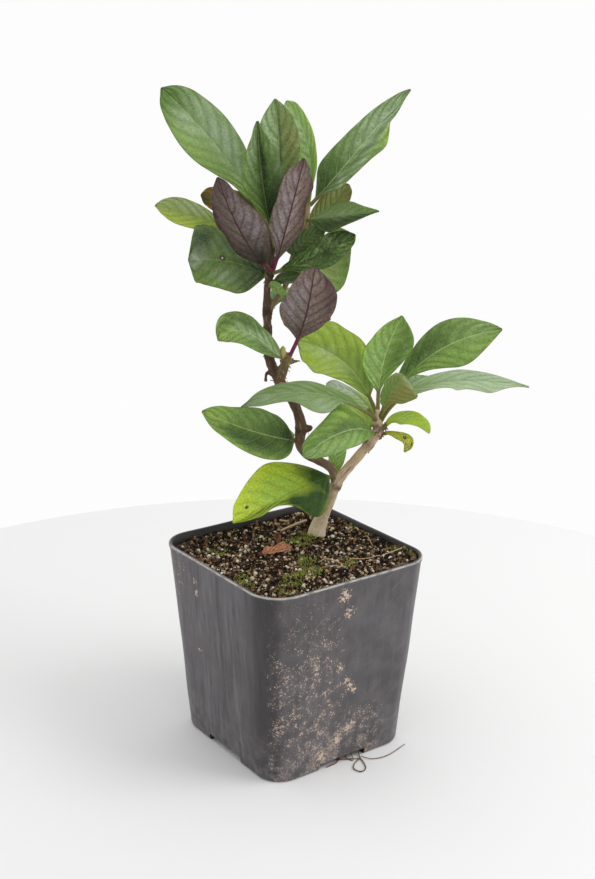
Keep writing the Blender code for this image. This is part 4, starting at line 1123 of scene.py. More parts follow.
LEAVES = [
    # Its pale tint is a painted highlight patch and its deep tint at the base painted shade
    leaf("leaf_crown_purple_left", [(-12, 22, 211), (-21.2, 10, 224.4), (-33.1, 6.5, 251.1)],
         (0.3, 0.92, 0.2), (3.26, 6.51, 9.49, 11.16, 9.77, 6.7, 4.46, 2.79),
         (4.65, 7.44, 8.93, 8.74, 10.04, 8.46, 6.04, 3.35), stalk=0.08, upper="dark", under="purple_under",
         pale=[(0.6, -0.5, 0.35, 0.4, 0.9)], deep=[(0, 0, 0.35, 1.2, 1)], warm=[(0.6, 1, 0.5, 0.3, 0.9),
         (0.95, 0, 0.12, 1, 0.5)]),
    # Its pale tint is a painted highlight patch and its deep tint at the base painted shade
    leaf("leaf_crown_purple_right", [(-10, 23, 212), (-2.8, 13, 238.4), (2.4, 10, 258.9)],
         (-0.35, 0.9, 0.1), (3.6, 6.6, 8.8, 8.1, 7.3, 8.6, 5.2, 2.9), (1.2, 3.6, 7, 7.2, 6.8, 6.8, 5.3, 2),
         stalk=0.08, fold=14, upper="dark", under="purple_under", shade=1.5,
         pale=[(0.5, 0.35, 0.35, 0.5, 1.1)], deep=[(0.05, 0, 0.15, 1, 0.5)],
         warm=[(0.65, -1, 0.3, 0.4, 0.9), (0.97, 0, 0.08, 1, 0.6)]),
    # Its pale tints are bloom with a painted highlight
    leaf("leaf_crown_upper_left", [(-12.5, 27.5, 227), (-25.1, 33, 248.3), (-36.5, 37, 262.8),
         (-59.1, 38, 285.6)], (0.3, -0.9, 0.35), (3, 4.8, 9.1, 12.9, 13.8, 11.9, 8.9, 5.4),
         (1, 4.4, 9, 10.7, 11.5, 10.4, 8.2, 4.6), stalk=0.18, upper="sage",
         pale=[(0.82, -0.35, 0.15, 0.4, 0.9), (0.6, 0.45, 0.4, 0.5, 0.8)],
         deep=[(0.97, -0.1, 0.13, 1.4, 0.95)], warm=[(0.6, -0.8, 0.5, 0.35, 0.6)]),
    # Its deep tints on the right half are painted shade, nearly black low down beside the purple leaf
    leaf("leaf_crown_front_tall", [(-11, 23.5, 226), (-15.8, 24, 252.6), (-17.3, 24, 272.9)], (0, -1, 0.1),
         (0.8, 3.6, 7.5, 9.6, 7.6, 5.8, 3, 1.7), (0.8, 3.2, 7.5, 10.5, 10.3, 7.1, 4, 1.4), stalk=0.05,
         fold=32, shade=1.1, pale=[(0.5, 0.8, 0.2, 0.3, 0.5), (0.8, -0.6, 0.3, 0.4, 0.5)],
         deep=[(0.6, 0.12, 0.5, 0.22, 1.1), (0.1, 0.6, 0.35, 0.8, 1.7), (0.2, -0.2, 0.3, 0.3, 0.6)],
         warm=[(0.5, -0.95, 0.4, 0.15, 0.6)]),
    leaf("leaf_crown_back_tall", [(-10, 29, 231), (-8.3, 33, 260.4), (-10.1, 31, 281.7)], (0.1, -1, 0.1),
         (0.8, 3.3, 6.5, 8.3, 9.1, 8.7, 6.3, 3), (0.8, 2.4, 5.8, 8.4, 9.2, 8.2, 6, 3), stalk=0.05, fold=15,
         upper="grey", shade=1.35, pale=[(0.7, -0.5, 0.4, 0.5, 0.5)], deep=[(0.6, 0.08, 0.5, 0.1, 0.7),
         (0.3, 0.4, 0.25, 0.7, 0.6)], warm=[(0.7, 0.6, 0.4, 0.5, 0.7)]),
    leaf("leaf_crown_back_turned", [(3.5, 31.5, 235), (4.3, 38, 261), (-5.5, 40, 280.6)], (-0.4, -0.9, 0.2),
         (0.8, 2.2, 5, 6.8, 7.4, 6.8, 5.5, 4.1), (0.8, 1.7, 3, 3.7, 4.4, 4.3, 3.9, 2.9), fold=8,
         upper="sage", shade=1.8, pale=[(0.8, -0.2, 0.3, 0.5, 0.5)], deep=[(0.2, 0.2, 0.4, 0.5, 0.7)],
         warm=[(0.5, 0.95, 0.6, 0.3, 0.8)]),
    leaf("leaf_crown_upper_right", [(5.5, 29.5, 238), (18, 27, 252.3), (31.4, 28, 268.6),
         (46.4, 22, 286.4)], (-0.4, -0.8, 0.4), (3.6, 8.2, 9.7, 9.2, 7.6, 5.9, 3.9, 2.1),
         (1.5, 5.4, 7.1, 8.9, 10.6, 4.6, 2.9, 1.2), stalk=0.05, nicks=[(1, 0.76, 0.03, -0.8)],
         upper="striped", shade=1.5, pale=[(0.75, 0.1, 0.3, 0.9, 0.9), (0.4, 0.6, 0.35, 0.5, 0.45)],
         deep=[(0.12, -0.3, 0.3, 1.2, 0.85), (0.5, 0.35, 0.4, 0.15, 0.6)],
         warm=[(0.64, 0.95, 0.09, 0.45, 1)]),
    # Its pale tints paint a highlight along its upper edge
    leaf("leaf_crown_small_left", [(-12, 26, 222), (-40.6, 34.5, 229.9), (-52.5, 35.5, 233.2),
         (-62.3, 34, 236.2)], (0, -0.6, 0.8), (0.8, 1.2, 4.3, 7.9, 9, 8.2, 5.9, 3.2),
         (0.8, 0.9, 2.8, 5.7, 7.8, 8.4, 6.2, 3.3), stalk=0.25, upper="soft_lime", shade=0.95,
         pale=[(0.95, 0.3, 0.3, 1, 0.6), (0.75, 0.55, 0.25, 0.4, 1)], deep=[(0.24, 0, 0.22, 2, 1.3)],
         warm=[(0.75, -0.8, 0.4, 0.35, 0.8)]),
    # Its deep tints on the upper half are the painted shadow of the leaves above it
    leaf("leaf_crown_broad_left", [(-12, 22.5, 206.9), (-27.9, 15, 214.6), (-46.6, 13.5, 215.5)],
         (-0.15, -0.8, 0.55), (4.5, 9.4, 12.4, 12.6, 12.3, 11.5, 10.2, 8.2),
         (4, 7.2, 10.6, 13.8, 16.3, 19.4, 19.6, 16), stalk=0.04, fold=-14, shade=0.85,
         pale=[(0.98, -0.2, 0.12, 0.3, 0.8), (0.9, 0.12, 0.08, 0.25, 1.2), (0.55, -0.6, 0.2, 0.4, 0.45),
         (0.45, 0.8, 0.15, 0.3, 0.4)], deep=[(0.85, 0.55, 0.2, 0.4, 0.95), (0.45, 0.5, 0.3, 0.4, 0.8),
         (0.1, 0, 0.32, 2, 1)], warm=[(0.6, -0.97, 0.6, 0.12, 0.7), (0.8, -0.9, 0.4, 0.25, 0.6)],
         spot=[(0.62, 0.08, 0.04, 0.1, 1), (0.7, -0.05, 0.02, 0.1, 0.5)]),
    leaf("leaf_crown_bronze_left", [(-11, 29, 223), (-27, 39, 235), (-43, 42, 240)], (0.2, -0.8, 0.4),
         (3, 4.9, 6.3, 6.9, 6.9, 6.2, 4.8, 3.1), stalk=0.2, upper="bronze", under="tan", shade=1.2,
         pale=[(0.8, 0.3, 0.15, 0.5, 0.9)], deep=[(0.97, -0.5, 0.12, 0.6, 0.9), (0.5, 0.6, 0.3, 0.5, 0.9)]),
    # Its pale streak is a painted highlight and its deep tint paints the shaded lower half
    leaf("leaf_crown_folded_right", [(4, 27, 231.7), (18.1, 17.5, 234.3), (34.4, 14, 237)],
         (0.05, -0.8, 0.6), (4.5, 9, 12.4, 12.4, 10.2, 6.8, 4.2, 2.2),
         (2.5, 4.8, 6.2, 5.2, 3.7, 2.3, 1.2, 0.6), stalk=0.05, fold=-26, upper="ribbed", shade=0.85,
         pale=[(0.45, -0.12, 0.4, 0.2, 0.75)], deep=[(0.45, 0.55, 0.5, 0.5, 0.9)],
         warm=[(0.97, 0, 0.12, 1, 0.8)]),
    # Its pale tints are painted glossy highlights
    leaf("leaf_crown_blistered_right", [(-12, 23.5, 208.5), (8.9, 16.3, 217.8), (24.7, 19, 226.5)],
         (-0.25, -0.85, 0.5), (1.7, 2.7, 4.7, 5.6, 6.6, 6.4, 5.6, 3.6),
         (1.3, 2.3, 4.3, 6.8, 7.8, 6.1, 4.7, 2.9), fold=6, wave=0.8, upper="blistered", shade=1.25,
         pale=[(0.4, 0.4, 0.08, 0.2, 0.8), (0.62, -0.4, 0.08, 0.15, 0.8), (0.85, 0.2, 0.05, 0.3, 0.6)],
         deep=[(0.55, 0.1, 0.3, 0.25, 0.5), (0.8, -0.5, 0.2, 0.3, 0.4)], warm=[(1, 0, 0.06, 0.8, 0.9)]),
    leaf("leaf_crown_pale_right", [(-3, 26, 208), (9.2, 33, 212.1), (23, 31, 225.7)], (0.3, 0.85, -0.3),
         (5, 10.8, 15.6, 15.3, 12, 8.2, 5, 2.7), (3, 5.4, 7.4, 8.5, 8.8, 8.1, 6.7, 4.2), shade=1.2,
         pale=[(0.5, 0.6, 0.3, 0.4, 0.8)], deep=[(0.6, -0.9, 0.3, 0.35, 1)],
         warm=[(0.75, 0, 0.3, 0.3, 0.8)]),
    leaf("leaf_crown_bronze_right", [(3.4, 28, 225.8), (14.2, 35, 236), (22.2, 38, 245.8)],
         (0.2, -0.8, 0.4), (2.6, 4.2, 5.4, 5.9, 5.9, 5.3, 4.1, 2.7), upper="olive", under="olive",
         shade=0.85, deep=[(0.3, 0, 0.35, 0.8, 0.8)], warm=[(0.6, 0.95, 0.5, 0.4, 1),
         (0.6, -0.95, 0.5, 0.3, 0.8)]),
    leaf("leaf_crown_inner_young", [(-1.4, 25, 212.6), (2, 23, 221.5), (11.9, 23.4, 227.2)],
         (-0.3, -0.8, 0.3), (4.6, 6, 6, 5, 4, 3.6, 3, 1.8), (2, 3.4, 4.6, 5.2, 5.2, 4.6, 3.2, 1.8),
         shade=0.55),
    leaf("leaf_crown_drooping_small", [(-12.4, 22.8, 203.2), (-10.3, 17.5, 204.4), (-4.6, 13.5, 200)],
         (-0.4, -0.8, 0.3), (0.8, 1.3, 1.9, 2.2, 2.2, 1.8, 1.3, 0.7), shade=1.6),
    leaf("leaf_crown_under_right", [(-12, 24, 204.5), (-5.6, 20.2, 207), (2.2, 19.6, 208.5)],
         (0, -0.6, 0.8), (1.4, 2.7, 3.9, 4.4, 4.4, 3.8, 2.7, 1.5), upper="dark",
         deep=[(0.5, 0.5, 0.5, 0.6, 0.6)]),
    leaf("leaf_shoot_purple", [(-3, 20, 172), (2, 17, 184.8), (4.8, 9.5, 196.9), (7.6, 9, 213.8)],
         (-0.1, 0.8, -0.2), (2.6, 6.6, 9.7, 12.1, 12.4, 11.4, 8.6, 4.4),
         (4, 8.4, 11.1, 11.7, 10.2, 8.9, 6.6, 4), stalk=0.2, nicks=[(-1, 0.47, 0.02, 1.1),
         (1, 0.3, 0.02, 0.8)], upper="dark", under="purple_under", shade=1.3,
         pale=[(0.6, 0.5, 0.35, 0.4, 0.9)], warm=[(0.25, 0, 0.12, 0.6, 0.7), (0.8, -0.8, 0.3, 0.3, 0.6)]),
    leaf("leaf_shoot_left", [(-4.5, 21, 171), (-13.7, 15, 178.9), (-25.2, 11, 185.8), (-33.9, 11, 180.9)],
         (0.1, -0.75, 0.65), (1.7, 3.1, 5.2, 6.6, 7.4, 7, 5.2, 3), (2.5, 4.3, 5.4, 5.8, 7.8, 9, 7.7, 3.9),
         stalk=0.08, shade=1.45, pale=[(0.4, 0.1, 0.4, 0.5, 0.55)], deep=[(0.75, 0.6, 0.35, 0.4, 0.7),
         (0.2, -0.5, 0.3, 0.4, 0.6)], warm=[(0.95, 0.2, 0.2, 1, 0.6)]),
    leaf("leaf_low_left", [(2, 24, 132), (-18.9, 14, 139.5), (-41.3, 12, 149.1)], (0.1, -0.75, 0.65),
         (6, 10.8, 12.6, 12.1, 10.7, 7.9, 5.4, 2.5), (5.5, 9.6, 11, 11, 9.6, 7.4, 5.5, 3), stalk=0.06,
         upper="ribbed", shade=1.35, pale=[(0.5, 0.5, 0.3, 0.3, 0.4)], deep=[(0.08, 0.1, 0.3, 1, 1),
         (0.5, -0.45, 0.45, 0.4, 0.85)], warm=[(0.95, -0.2, 0.2, 1.2, 0.8), (0.6, -0.97, 0.5, 0.12, 0.9)],
         spot=[(0.1, -0.1, 0.03, 0.12, 1)]),
    leaf("leaf_low_yellow", [(18, 22.5, 117), (-2.2, 10, 111.9), (-27.5, 4, 99.6)], (-0.2, -0.8, 0.55),
         (5.5, 12.4, 14.8, 6, 2.8, 3.5, 2.5, 1.3), (6, 12.8, 18.2, 20, 18.9, 15.6, 10.9, 6.7), stalk=0.05,
         fold=-14, wave=1, upper="yellow", under="lime_under", shade=1.6,
         pale=[(0.75, 0.5, 0.2, 0.4, 0.35)], deep=[(0.32, -0.6, 0.26, 0.5, 1.4), (0.12, 0, 0.16, 2, 1.2),
         (0.7, -0.4, 0.3, 0.35, 0.6)], warm=[(0.5, 0.2, 0.35, 0.5, 0.8), (0.7, -0.7, 0.25, 0.5, 0.8)],
         spot=[(0.84, 0.3, 0.02, 0.09, 1), (0.88, 0.5, 0.01, 0.08, 0.6)]),
    leaf("leaf_low_small", [(18.5, 26, 113), (19, 29.5, 122), (22, 31, 131)], (-0.3, -0.9, 0.3),
         (1.3, 2.5, 3.6, 4.1, 4.1, 3.5, 2.5, 1.4), shade=3),
    leaf("leaf_rosette_lime_left", [(37, 25.4, 143.5), (21.3, 35, 166.4), (0.3, 34, 176.2)],
         (0.1, -0.8, 0.6), (2.9, 5.1, 7.4, 10.1, 11.9, 13.3, 10.5, 7.9),
         (4, 6.4, 10.6, 13.4, 13.7, 14, 9.5, 5), stalk=0.18, upper="lime", under="lime_under",
         pale=[(0.6, -0.3, 0.3, 0.4, 0.35)], deep=[(0.3, 0.45, 0.3, 0.3, 1), (0.2, -0.2, 0.3, 0.5, 0.9),
         (0.65, 0.1, 0.3, 0.15, 0.6)]),
    leaf("leaf_rosette_upright", [(37, 24.5, 146), (39.4, 29, 168.9), (46.8, 28, 189.3)], (-0.1, -0.9, 0.4),
         (3, 6, 9.2, 10, 8.2, 6.2, 3.8, 1.6), (1.5, 3.2, 6, 8.7, 10.6, 10.6, 8.3, 4.6), stalk=0.2,
         upper="ribbed", shade=2, pale=[(0.45, -0.5, 0.4, 0.5, 0.7)], deep=[(0.7, 0.6, 0.35, 0.4, 0.6),
         (0.1, 0, 0.2, 1, 0.6)], warm=[(0.6, -0.95, 0.5, 0.15, 0.6)]),
    leaf("leaf_rosette_upper_right", [(38, 25, 143), (60.4, 33, 170), (91.3, 27, 184)], (-0.2, -0.75, 0.65),
         (2.2, 4.6, 7.3, 10.1, 11.3, 9.5, 5.8, 2.9), (0.8, 1.6, 5, 9.9, 13.6, 13.2, 9.2, 4.6), stalk=0.18,
         upper="ribbed", shade=1.45, pale=[(0.9, -0.4, 0.2, 0.9, 0.8)], deep=[(0.45, -0.5, 0.25, 0.6, 0.8)],
         warm=[(0.75, 0.6, 0.3, 0.4, 0.3)]),
    # Its look is bloom with painted sheen
    leaf("leaf_rosette_long_right", [(38, 24, 141.5), (50.7, 19, 157.3), (71.7, 12, 164.3),
         (101, 6, 163.2)], (0, -0.45, 0.89), (1.5, 4.5, 6.5, 6.4, 4.8, 3.9, 2.5, 1),
         (1.5, 4, 5.5, 7.2, 7.4, 6.5, 2.6, 0.8), stalk=0.2, wave=1, nicks=[(1, 0.6, 0.03, 2.2),
         (1, 0.78, 0.05, 1.2)], upper="frost", shade=1.1, deep=[(0.35, 0, 0.15, 1, 0.7)],
         warm=[(0.5, 0.8, 0.1, 0.3, 0.5), (0.95, 0.3, 0.08, 0.8, 0.5)]),
    leaf("leaf_rosette_young_front", [(38.1, 21.7, 145.3), (41.9, 14, 157.6), (46.9, 9, 167)],
         (-0.3, -0.9, 0.1), (2, 2.8, 3.7, 4.2, 4.7, 4.5, 3.9, 2.8), (1.5, 2.3, 4, 7, 8.9, 10.4, 10.9, 9),
         stalk=0.2, fold=12, upper="olive", shade=1.25, pale=[(0.97, 0, 0.06, 1.5, 0.9)],
         deep=[(0.5, -0.45, 0.6, 0.5, 1.2)], warm=[(0.6, 0.5, 0.35, 0.4, 0.3)]),
    # Its pale tints are partly bloom, partly painted highlights
    leaf("leaf_rosette_long_left", [(37, 23, 143), (16.8, 13, 155.8), (-1.7, 9, 158.9), (-23.9, 8, 152.2)],
         (0, -0.55, 0.83), (0.8, 1.8, 10.5, 12.5, 7.2, 5.9, 4.3, 1.8),
         (3.4, 4.4, 4.9, 5.7, 5.6, 4.9, 3, 0.9), stalk=0.18, wave=1.2, upper="frosted_sage", shade=0.88,
         pale=[(0.85, 0, 0.3, 1, 0.6), (0.45, -0.7, 0.15, 0.5, 0.8)], deep=[(0.75, 0.5, 0.15, 0.4, 0.7),
         (0.3, 0.3, 0.25, 0.5, 0.7)]),
    # Its glare look is a painted highlight over the whole leaf
    leaf("leaf_rosette_back_left", [(37, 24.4, 139.5), (24.3, 25.5, 155.4), (13.5, 27, 158)],
         (0.1, -0.75, 0.65), (3.1, 3.9, 4.6, 5.1, 5, 4.6, 3.6, 2.8), (0.8, 0.9, 1.2, 1.6, 2, 2.4, 2.6, 1.7),
         stalk=0.25, upper="glare", pale=[(0.75, 0.3, 0.2, 0.6, 0.9)], warm=[(0.4, -0.3, 0.3, 1, 0.6)]),
    leaf("leaf_rosette_front", [(37, 23, 136), (21.8, 8, 141.7), (3.4, 2, 131.4)], (-0.2, -0.7, 0.7),
         (3, 5.8, 8.2, 10.2, 10.3, 9.4, 6.3, 3.7), (5.5, 10.8, 14, 11.7, 9.1, 7.3, 5.9, 3.9), stalk=0.08,
         upper="ribbed", under="lime_under", shade=1.55, pale=[(0.75, -0.5, 0.35, 0.6, 0.8)],
         deep=[(0.5, 0.15, 0.4, 0.3, 0.6), (0.12, 0, 0.15, 0.8, 0.5)], warm=[(0.3, 0.7, 0.3, 0.4, 0.8)]),
    leaf("leaf_rosette_small_right", [(38, 22.5, 138.5), (51.5, 18, 145.1), (60.1, 17, 138.5)],
         (0.1, -0.7, 0.7), (1.6, 2.4, 3.2, 3.6, 3.5, 3.4, 3.4, 2.2),
         (0.8, 1.5, 3.6, 4.2, 3.7, 2.5, 1.7, 1.1), stalk=0.1, upper="lime", under="lime_under", shade=1.45),
    leaf("leaf_rosette_curled", [(39, 23.5, 135.5), (48.1, 22, 136), (51.7, 21, 133.5), (49.1, 20, 128.6)],
         (0.3, -0.7, 0.6), (0.8, 0.8, 1.2, 1.8, 1.9, 1.4, 1.2, 0.7), (0.9, 1.7, 3, 3.8, 4.2, 3.9, 3.2, 1.8),
         upper="curled", shade=1.25, spot=[(0.55, 0.2, 0.06, 0.3, 0.9), (0.8, -0.4, 0.05, 0.3, 0.8)]),
    leaf("leaf_rear_crown_left", [(-12.5, 26.5, 208.5), (-24, 44, 214), (-36, 61, 214)], (-0.1, 0.1, 1),
         (4.3, 7, 9, 9.9, 9.9, 8.8, 6.9, 4.5), stalk=0.1),
    leaf("leaf_rear_crown_middle", [(-10.5, 28, 219), (-9.5, 45, 229), (-9, 62, 232)], (-0.1, -0.1, 1),
         (3.4, 6.2, 8.4, 9.4, 9.2, 7.8, 5.5, 3), upper="sage", pale=[(0.6, 0.4, 0.4, 0.5, 0.6)]),
    leaf("leaf_rear_crown_right", [(2.5, 30, 226), (12, 46, 229.5), (21, 61, 228.5)], (0.1, 0, 1),
         (2.3, 4.5, 6.4, 7.4, 7.4, 6.3, 4.4, 2.4), stalk=0.1, upper="ribbed",
         deep=[(0.1, 0, 0.35, 1, 0.8)]),
    leaf("leaf_rear_shoot", [(-11.5, 26, 170), (-20.1, 38, 177.4), (-26.1, 50, 176.1)], (0, 0.1, 1),
         (3, 4.9, 6.3, 6.9, 6.9, 6.2, 4.8, 3.1)),
    leaf("leaf_rear_shoot_right", [(-12, 26, 192), (-4, 42, 197), (4, 56, 195)], (0, 0.1, 1),
         (2.9, 5.2, 7, 7.9, 7.9, 6.9, 5.1, 3), upper="sage", warm=[(0.9, 0, 0.3, 1, 0.5)]),
    leaf("leaf_rear_low", [(2, 27, 131), (-11, 40, 133), (-24, 52, 130)], (0, 0.2, 1),
         (2.8, 4.9, 6.6, 7.4, 7.4, 6.4, 4.8, 2.9), upper="ribbed"),
    leaf("leaf_rear_rosette_left", [(35, 26.5, 134.5), (29, 42, 144), (21, 57, 148)], (0, 0.1, 1),
         (3.5, 5.6, 7.2, 7.9, 7.9, 7, 5.5, 3.6), upper="lime", under="lime_under"),
    leaf("leaf_rear_rosette_right", [(38.5, 26, 142), (49, 42, 153), (61, 57, 155)], (0, 0.1, 1),
         (2.4, 5.1, 7.7, 9.2, 9.4, 8.2, 5.9, 3.3), pale=[(0.7, -0.4, 0.3, 0.5, 0.5)]),
]

# Dry leaves on the soil, with their midribs' heights counted from its surface
DRY_LEAVES = [
    leaf("dry_leaf_front", [(-16, 1, 2.2), (-9, 4, 2.6), (-1, 5, 3.6)], (0.1, -0.3, 1),
         (1.1, 2.4, 3.2, 2.6, 3, 3.2, 2.2, 1.2), (1, 1.8, 2.9, 3.4, 3.1, 2.5, 2.2, 1.3), stalk=0.1, fold=24,
         upper="rust", under="rust"),
    leaf("dry_leaf_back", [(-9, 12, 2), (-7.5, 10.5, 5), (-8, 9, 8)], (-0.3, -0.8, 0.4),
         (0.8, 1.3, 1.9, 2.2, 2.1, 1.8, 1.4, 0.8), (0.8, 1.5, 2, 2.1, 2.2, 1.7, 1.3, 0.8), stalk=0.1,
         fold=20, upper="rust", under="rust"),
]

# A leaf's stalk and tip, in millimetres
STALK_HALF = 0.75
STALK_TALL = 1.4
TIP_HALF = 0.4
# Where a stalk's start is looked for along the midrib, and how deep in the wood it has to be
START_FIRST = 0.12
START_LAST = -0.14
START_STEP = 0.004
START_DEEP = 0.5
# The blade: its edge's waves, its side veins and the quilting between them, and the midrib's groove on
# top and rib below
EDGE_WAVES = 13.0
SIDE_VEINS = 7.0
VEIN_SWEEP = 0.3
QUILT = 0.03
GROOVE_DEEP = 0.16
GROOVE_HALF = 0.5
RIB_LOST = 0.62
RIB_AT_TIP = 0.12
RIB_MOST = 0.75
BLADE_MIDDLE = -0.32
SLOT_OF_LOOK = {"lime": "leaf_lime", "soft_lime": "leaf_lime", "yellow": "leaf_lime", "curled": "leaf_lime",
                "frost": "leaf_glaucous", "frosted_sage": "leaf_glaucous", "glare": "leaf_glaucous",
                "bronze": "leaf_bronze", "tan": "leaf_bronze", "olive": "leaf_bronze", "rust": "dry_leaf"}


def midrib_at(path, shares):
    """Points of the midrib, on the curve of lowest order through the path's points."""
    rows = np.array(path, float)
    lengths = np.linalg.norm(np.diff(rows, axis=0), axis=1)
    knots = np.concatenate([[0.0], np.cumsum(lengths)]) / lengths.sum()
    points = np.zeros((len(shares), 3))
    for i, row in enumerate(rows):
        weight = np.ones(len(shares))
        for j, knot in enumerate(knots):
            if j != i:
                weight *= (shares - knot) / (knots[i] - knot)
        points += weight[:, None] * row
    return points


def units(arrows):
    return arrows / np.linalg.norm(arrows, axis=-1, keepdims=True)


def breadths(form, shares, side):
    """Half the leaf's breadth at each share of its length: a narrow stalk, then the blade, on a smooth
    curve through its half-breadths."""
    along = np.clip((shares - form["stalk"]) / (1 - form["stalk"]), 0.0, 1.0)
    places = np.array((0.0, *STATIONS, 1.0))
    halves = np.array((STALK_HALF, *form["right" if side > 0 else "left"], TIP_HALF))
    slopes = np.gradient(halves, places)
    k = np.clip(np.searchsorted(places, along, side="right"), 1, len(STATIONS) + 1) - 1
    step = places[k + 1] - places[k]
    t = (along - places[k]) / step
    wide = ((1 + 2 * t) * (1 - t) ** 2 * halves[k] + t * (1 - t) ** 2 * step * slopes[k]
            + t * t * (3 - 2 * t) * halves[k + 1] - t * t * (1 - t) * step * slopes[k + 1])
    for nick_side, middle, spread, out in form["nicks"]:
        if nick_side == side:
            wide = wide + out * np.exp(-((shares - middle) / spread) ** 2)
    least = STALK_HALF * (1 - along) + TIP_HALF * along
    return np.where(along > 0, np.maximum(wide, least), STALK_HALF)


def leaf_axes(form, shares):
    """Sideways and up, at each share of the leaf's length."""
    step = 0.01
    along = units(midrib_at(form["path"], shares + step) - midrib_at(form["path"], shares - step))
    face = np.array(form["face"], float)
    up = units(face - along * (along @ face)[:, None])
    return np.cross(along, up), up


def smooth_step(values, low, high):
    t = np.clip((values - low) / (high - low), 0, 1)
    return t * t * (3 - 2 * t)


def leaf_start(form):
    """The share at which the stalk begins, just inside the wood, or 0 for a leaf that lies loose."""
    if form["name"].startswith("dry"):
        return 0.0
    share = START_FIRST
    while share > START_LAST:
        place = Vector(turned(midrib_at(form["path"], np.array([share])))[0])
        near, normal, _, far = WOOD_FACES.find_nearest(place)
        inside = (place - near).dot(normal) < 0
        if inside and far > START_DEEP * MM:
            break
        share -= START_STEP
    return share


def tint_of(form, tone, share, across):
    """How strong one tone is over the leaf, from the leaf's own list."""
    total = np.zeros_like(share)
    for middle, side, long, wide, amount in form["tints"].get(tone, ()):
        total = np.maximum(total, amount * np.exp(-((share - middle) / long) ** 2
                                                  - ((across - side) / wide) ** 2))
    return total


def leaf_surface(form, shares, across):
    """The leaf's smooth middle surface as a grid of points, and each point's distance from the midrib."""
    side, up = leaf_axes(form, shares)
    half = np.where(across[None] > 0, breadths(form, shares, 1)[:, None], breadths(form, shares, -1)[:, None])
    angle = math.radians(form["fold"])
    ripple = (form["wave"] * np.sin(EDGE_WAVES * shares[:, None] + across[None]) * across[None] ** 2
              * half / form["half"])
    rise = np.abs(across)[None] * half * math.sin(angle) + ripple
    wide = across[None] * half * math.cos(angle)
    points = (midrib_at(form["path"], shares)[:, None] + side[:, None] * wide[..., None]
              + up[:, None] * rise[..., None])
    return points, across[None] * half


def leaf_mesh(form, sizes, materials):
    """A leaf's blade, veins and stalk as one closed mesh with its attributes."""
    start = leaf_start(form)
    shares = np.linspace(start, 1.0, sizes.rows + 1)
    steps = np.linspace(0, 1, sizes.half_columns + 1)
    half_across = 0.5 * (1 - np.cos(math.pi * steps))
    across = np.concatenate([-half_across[:0:-1], half_across])
    points, sideways = leaf_surface(form, shares, across)
    normal = units(np.cross(np.gradient(points, axis=1), np.gradient(points, axis=0)))
    share, over = np.meshgrid(shares, across, indexing="ij")
    blade_share = (share - form["stalk"]) / (1 - form["stalk"])
    length = np.linalg.norm(np.diff(np.array(form["path"], float), axis=0), axis=1).sum()

    blade = sizes.blade / MM
    edge = np.sqrt(np.clip(1 - np.abs(over) ** 9, 0, 1))
    phase = (blade_share - VEIN_SWEEP * np.abs(over) ** 1.4) * SIDE_VEINS + (over < 0) * 0.4
    quilt = (0.5 - 0.5 * np.cos(2 * math.pi * phase)) * np.clip(4 * np.abs(over) * (1 - np.abs(over)), 0, 1)
    relief = QUILT * form["half"] * quilt * smooth_step(blade_share, 0.02, 0.15)
    groove = GROOVE_DEEP * np.exp(-(sideways / GROOVE_HALF) ** 2)
    rib = np.clip(RIB_LOST * (1 - blade_share) + RIB_AT_TIP, RIB_AT_TIP, RIB_MOST)
    swell = rib * np.sqrt(np.clip(1 - (sideways / (rib + 0.15)) ** 2, 0, 1))
    top_blade = BLADE_MIDDLE + (blade / 2) * edge + relief - groove
    low_blade = BLADE_MIDDLE - (blade / 2) * edge + relief - swell
    round_half = 0.5 * STALK_TALL * np.sqrt(np.clip(1 - over ** 2, 0, 1))
    top_stalk, low_stalk = -0.5 * STALK_TALL + round_half, -0.5 * STALK_TALL - round_half
    weight = smooth_step(share, form["stalk"] - 0.02, form["stalk"] + 0.07)
    top = points + normal * (top_stalk + (top_blade - top_stalk) * weight)[..., None]
    low = points + normal * (low_stalk + (low_blade - low_stalk) * weight)[..., None]

    rows, columns = top.shape[:2]
    grid = np.arange(rows * columns).reshape(rows, columns)
    under = grid + rows * columns
    under[:, 0], under[:, -1] = grid[:, 0], grid[:, -1]
    quads = np.stack([grid[:-1, :-1], grid[:-1, 1:], grid[1:, 1:], grid[1:, :-1]], -1).reshape(-1, 4)
    backs = np.stack([under[:-1, :-1], under[1:, :-1], under[1:, 1:], under[:-1, 1:]], -1).reshape(-1, 4)
    faces = [tuple(q) for q in quads.tolist()] + [tuple(q) for q in backs.tolist()]
    for row, flip in ((0, 1), (rows - 1, -1)):
        ring = list(under[row]) + list(grid[row, -2:0:-1])
        faces.append(tuple(int(k) for k in ring)[::-flip])
    both = np.concatenate([top.reshape(-1, 3), low.reshape(-1, 3)])
    mesh = mesh_from(form["name"], turned(both), faces, materials)
    mesh.polygons.foreach_set("material_index",
                              [0] * len(quads) + [1] * (len(mesh.polygons) - len(quads)))

    def twice(*layers):
        return np.tile(np.stack([layer.ravel() for layer in layers], 1), (2, 1))

    store(mesh, "blade", "FLOAT_VECTOR", twice(over, blade_share, phase))
    store(mesh, "span", "FLOAT_VECTOR", twice(sideways * MM, share * length * MM, share * 0))
    store(mesh, "tint", "FLOAT_COLOR", twice(*[tint_of(form, tone, share, over)
                                               for tone in ("pale", "deep", "warm", "spot")]))
    spare = bmesh.new()
    spare.from_mesh(mesh)
    loose = [v for v in spare.verts if not v.link_faces]
    bmesh.ops.delete(spare, geom=loose, context="VERTS")
    spare.to_mesh(mesh)
    spare.free()
    return mesh


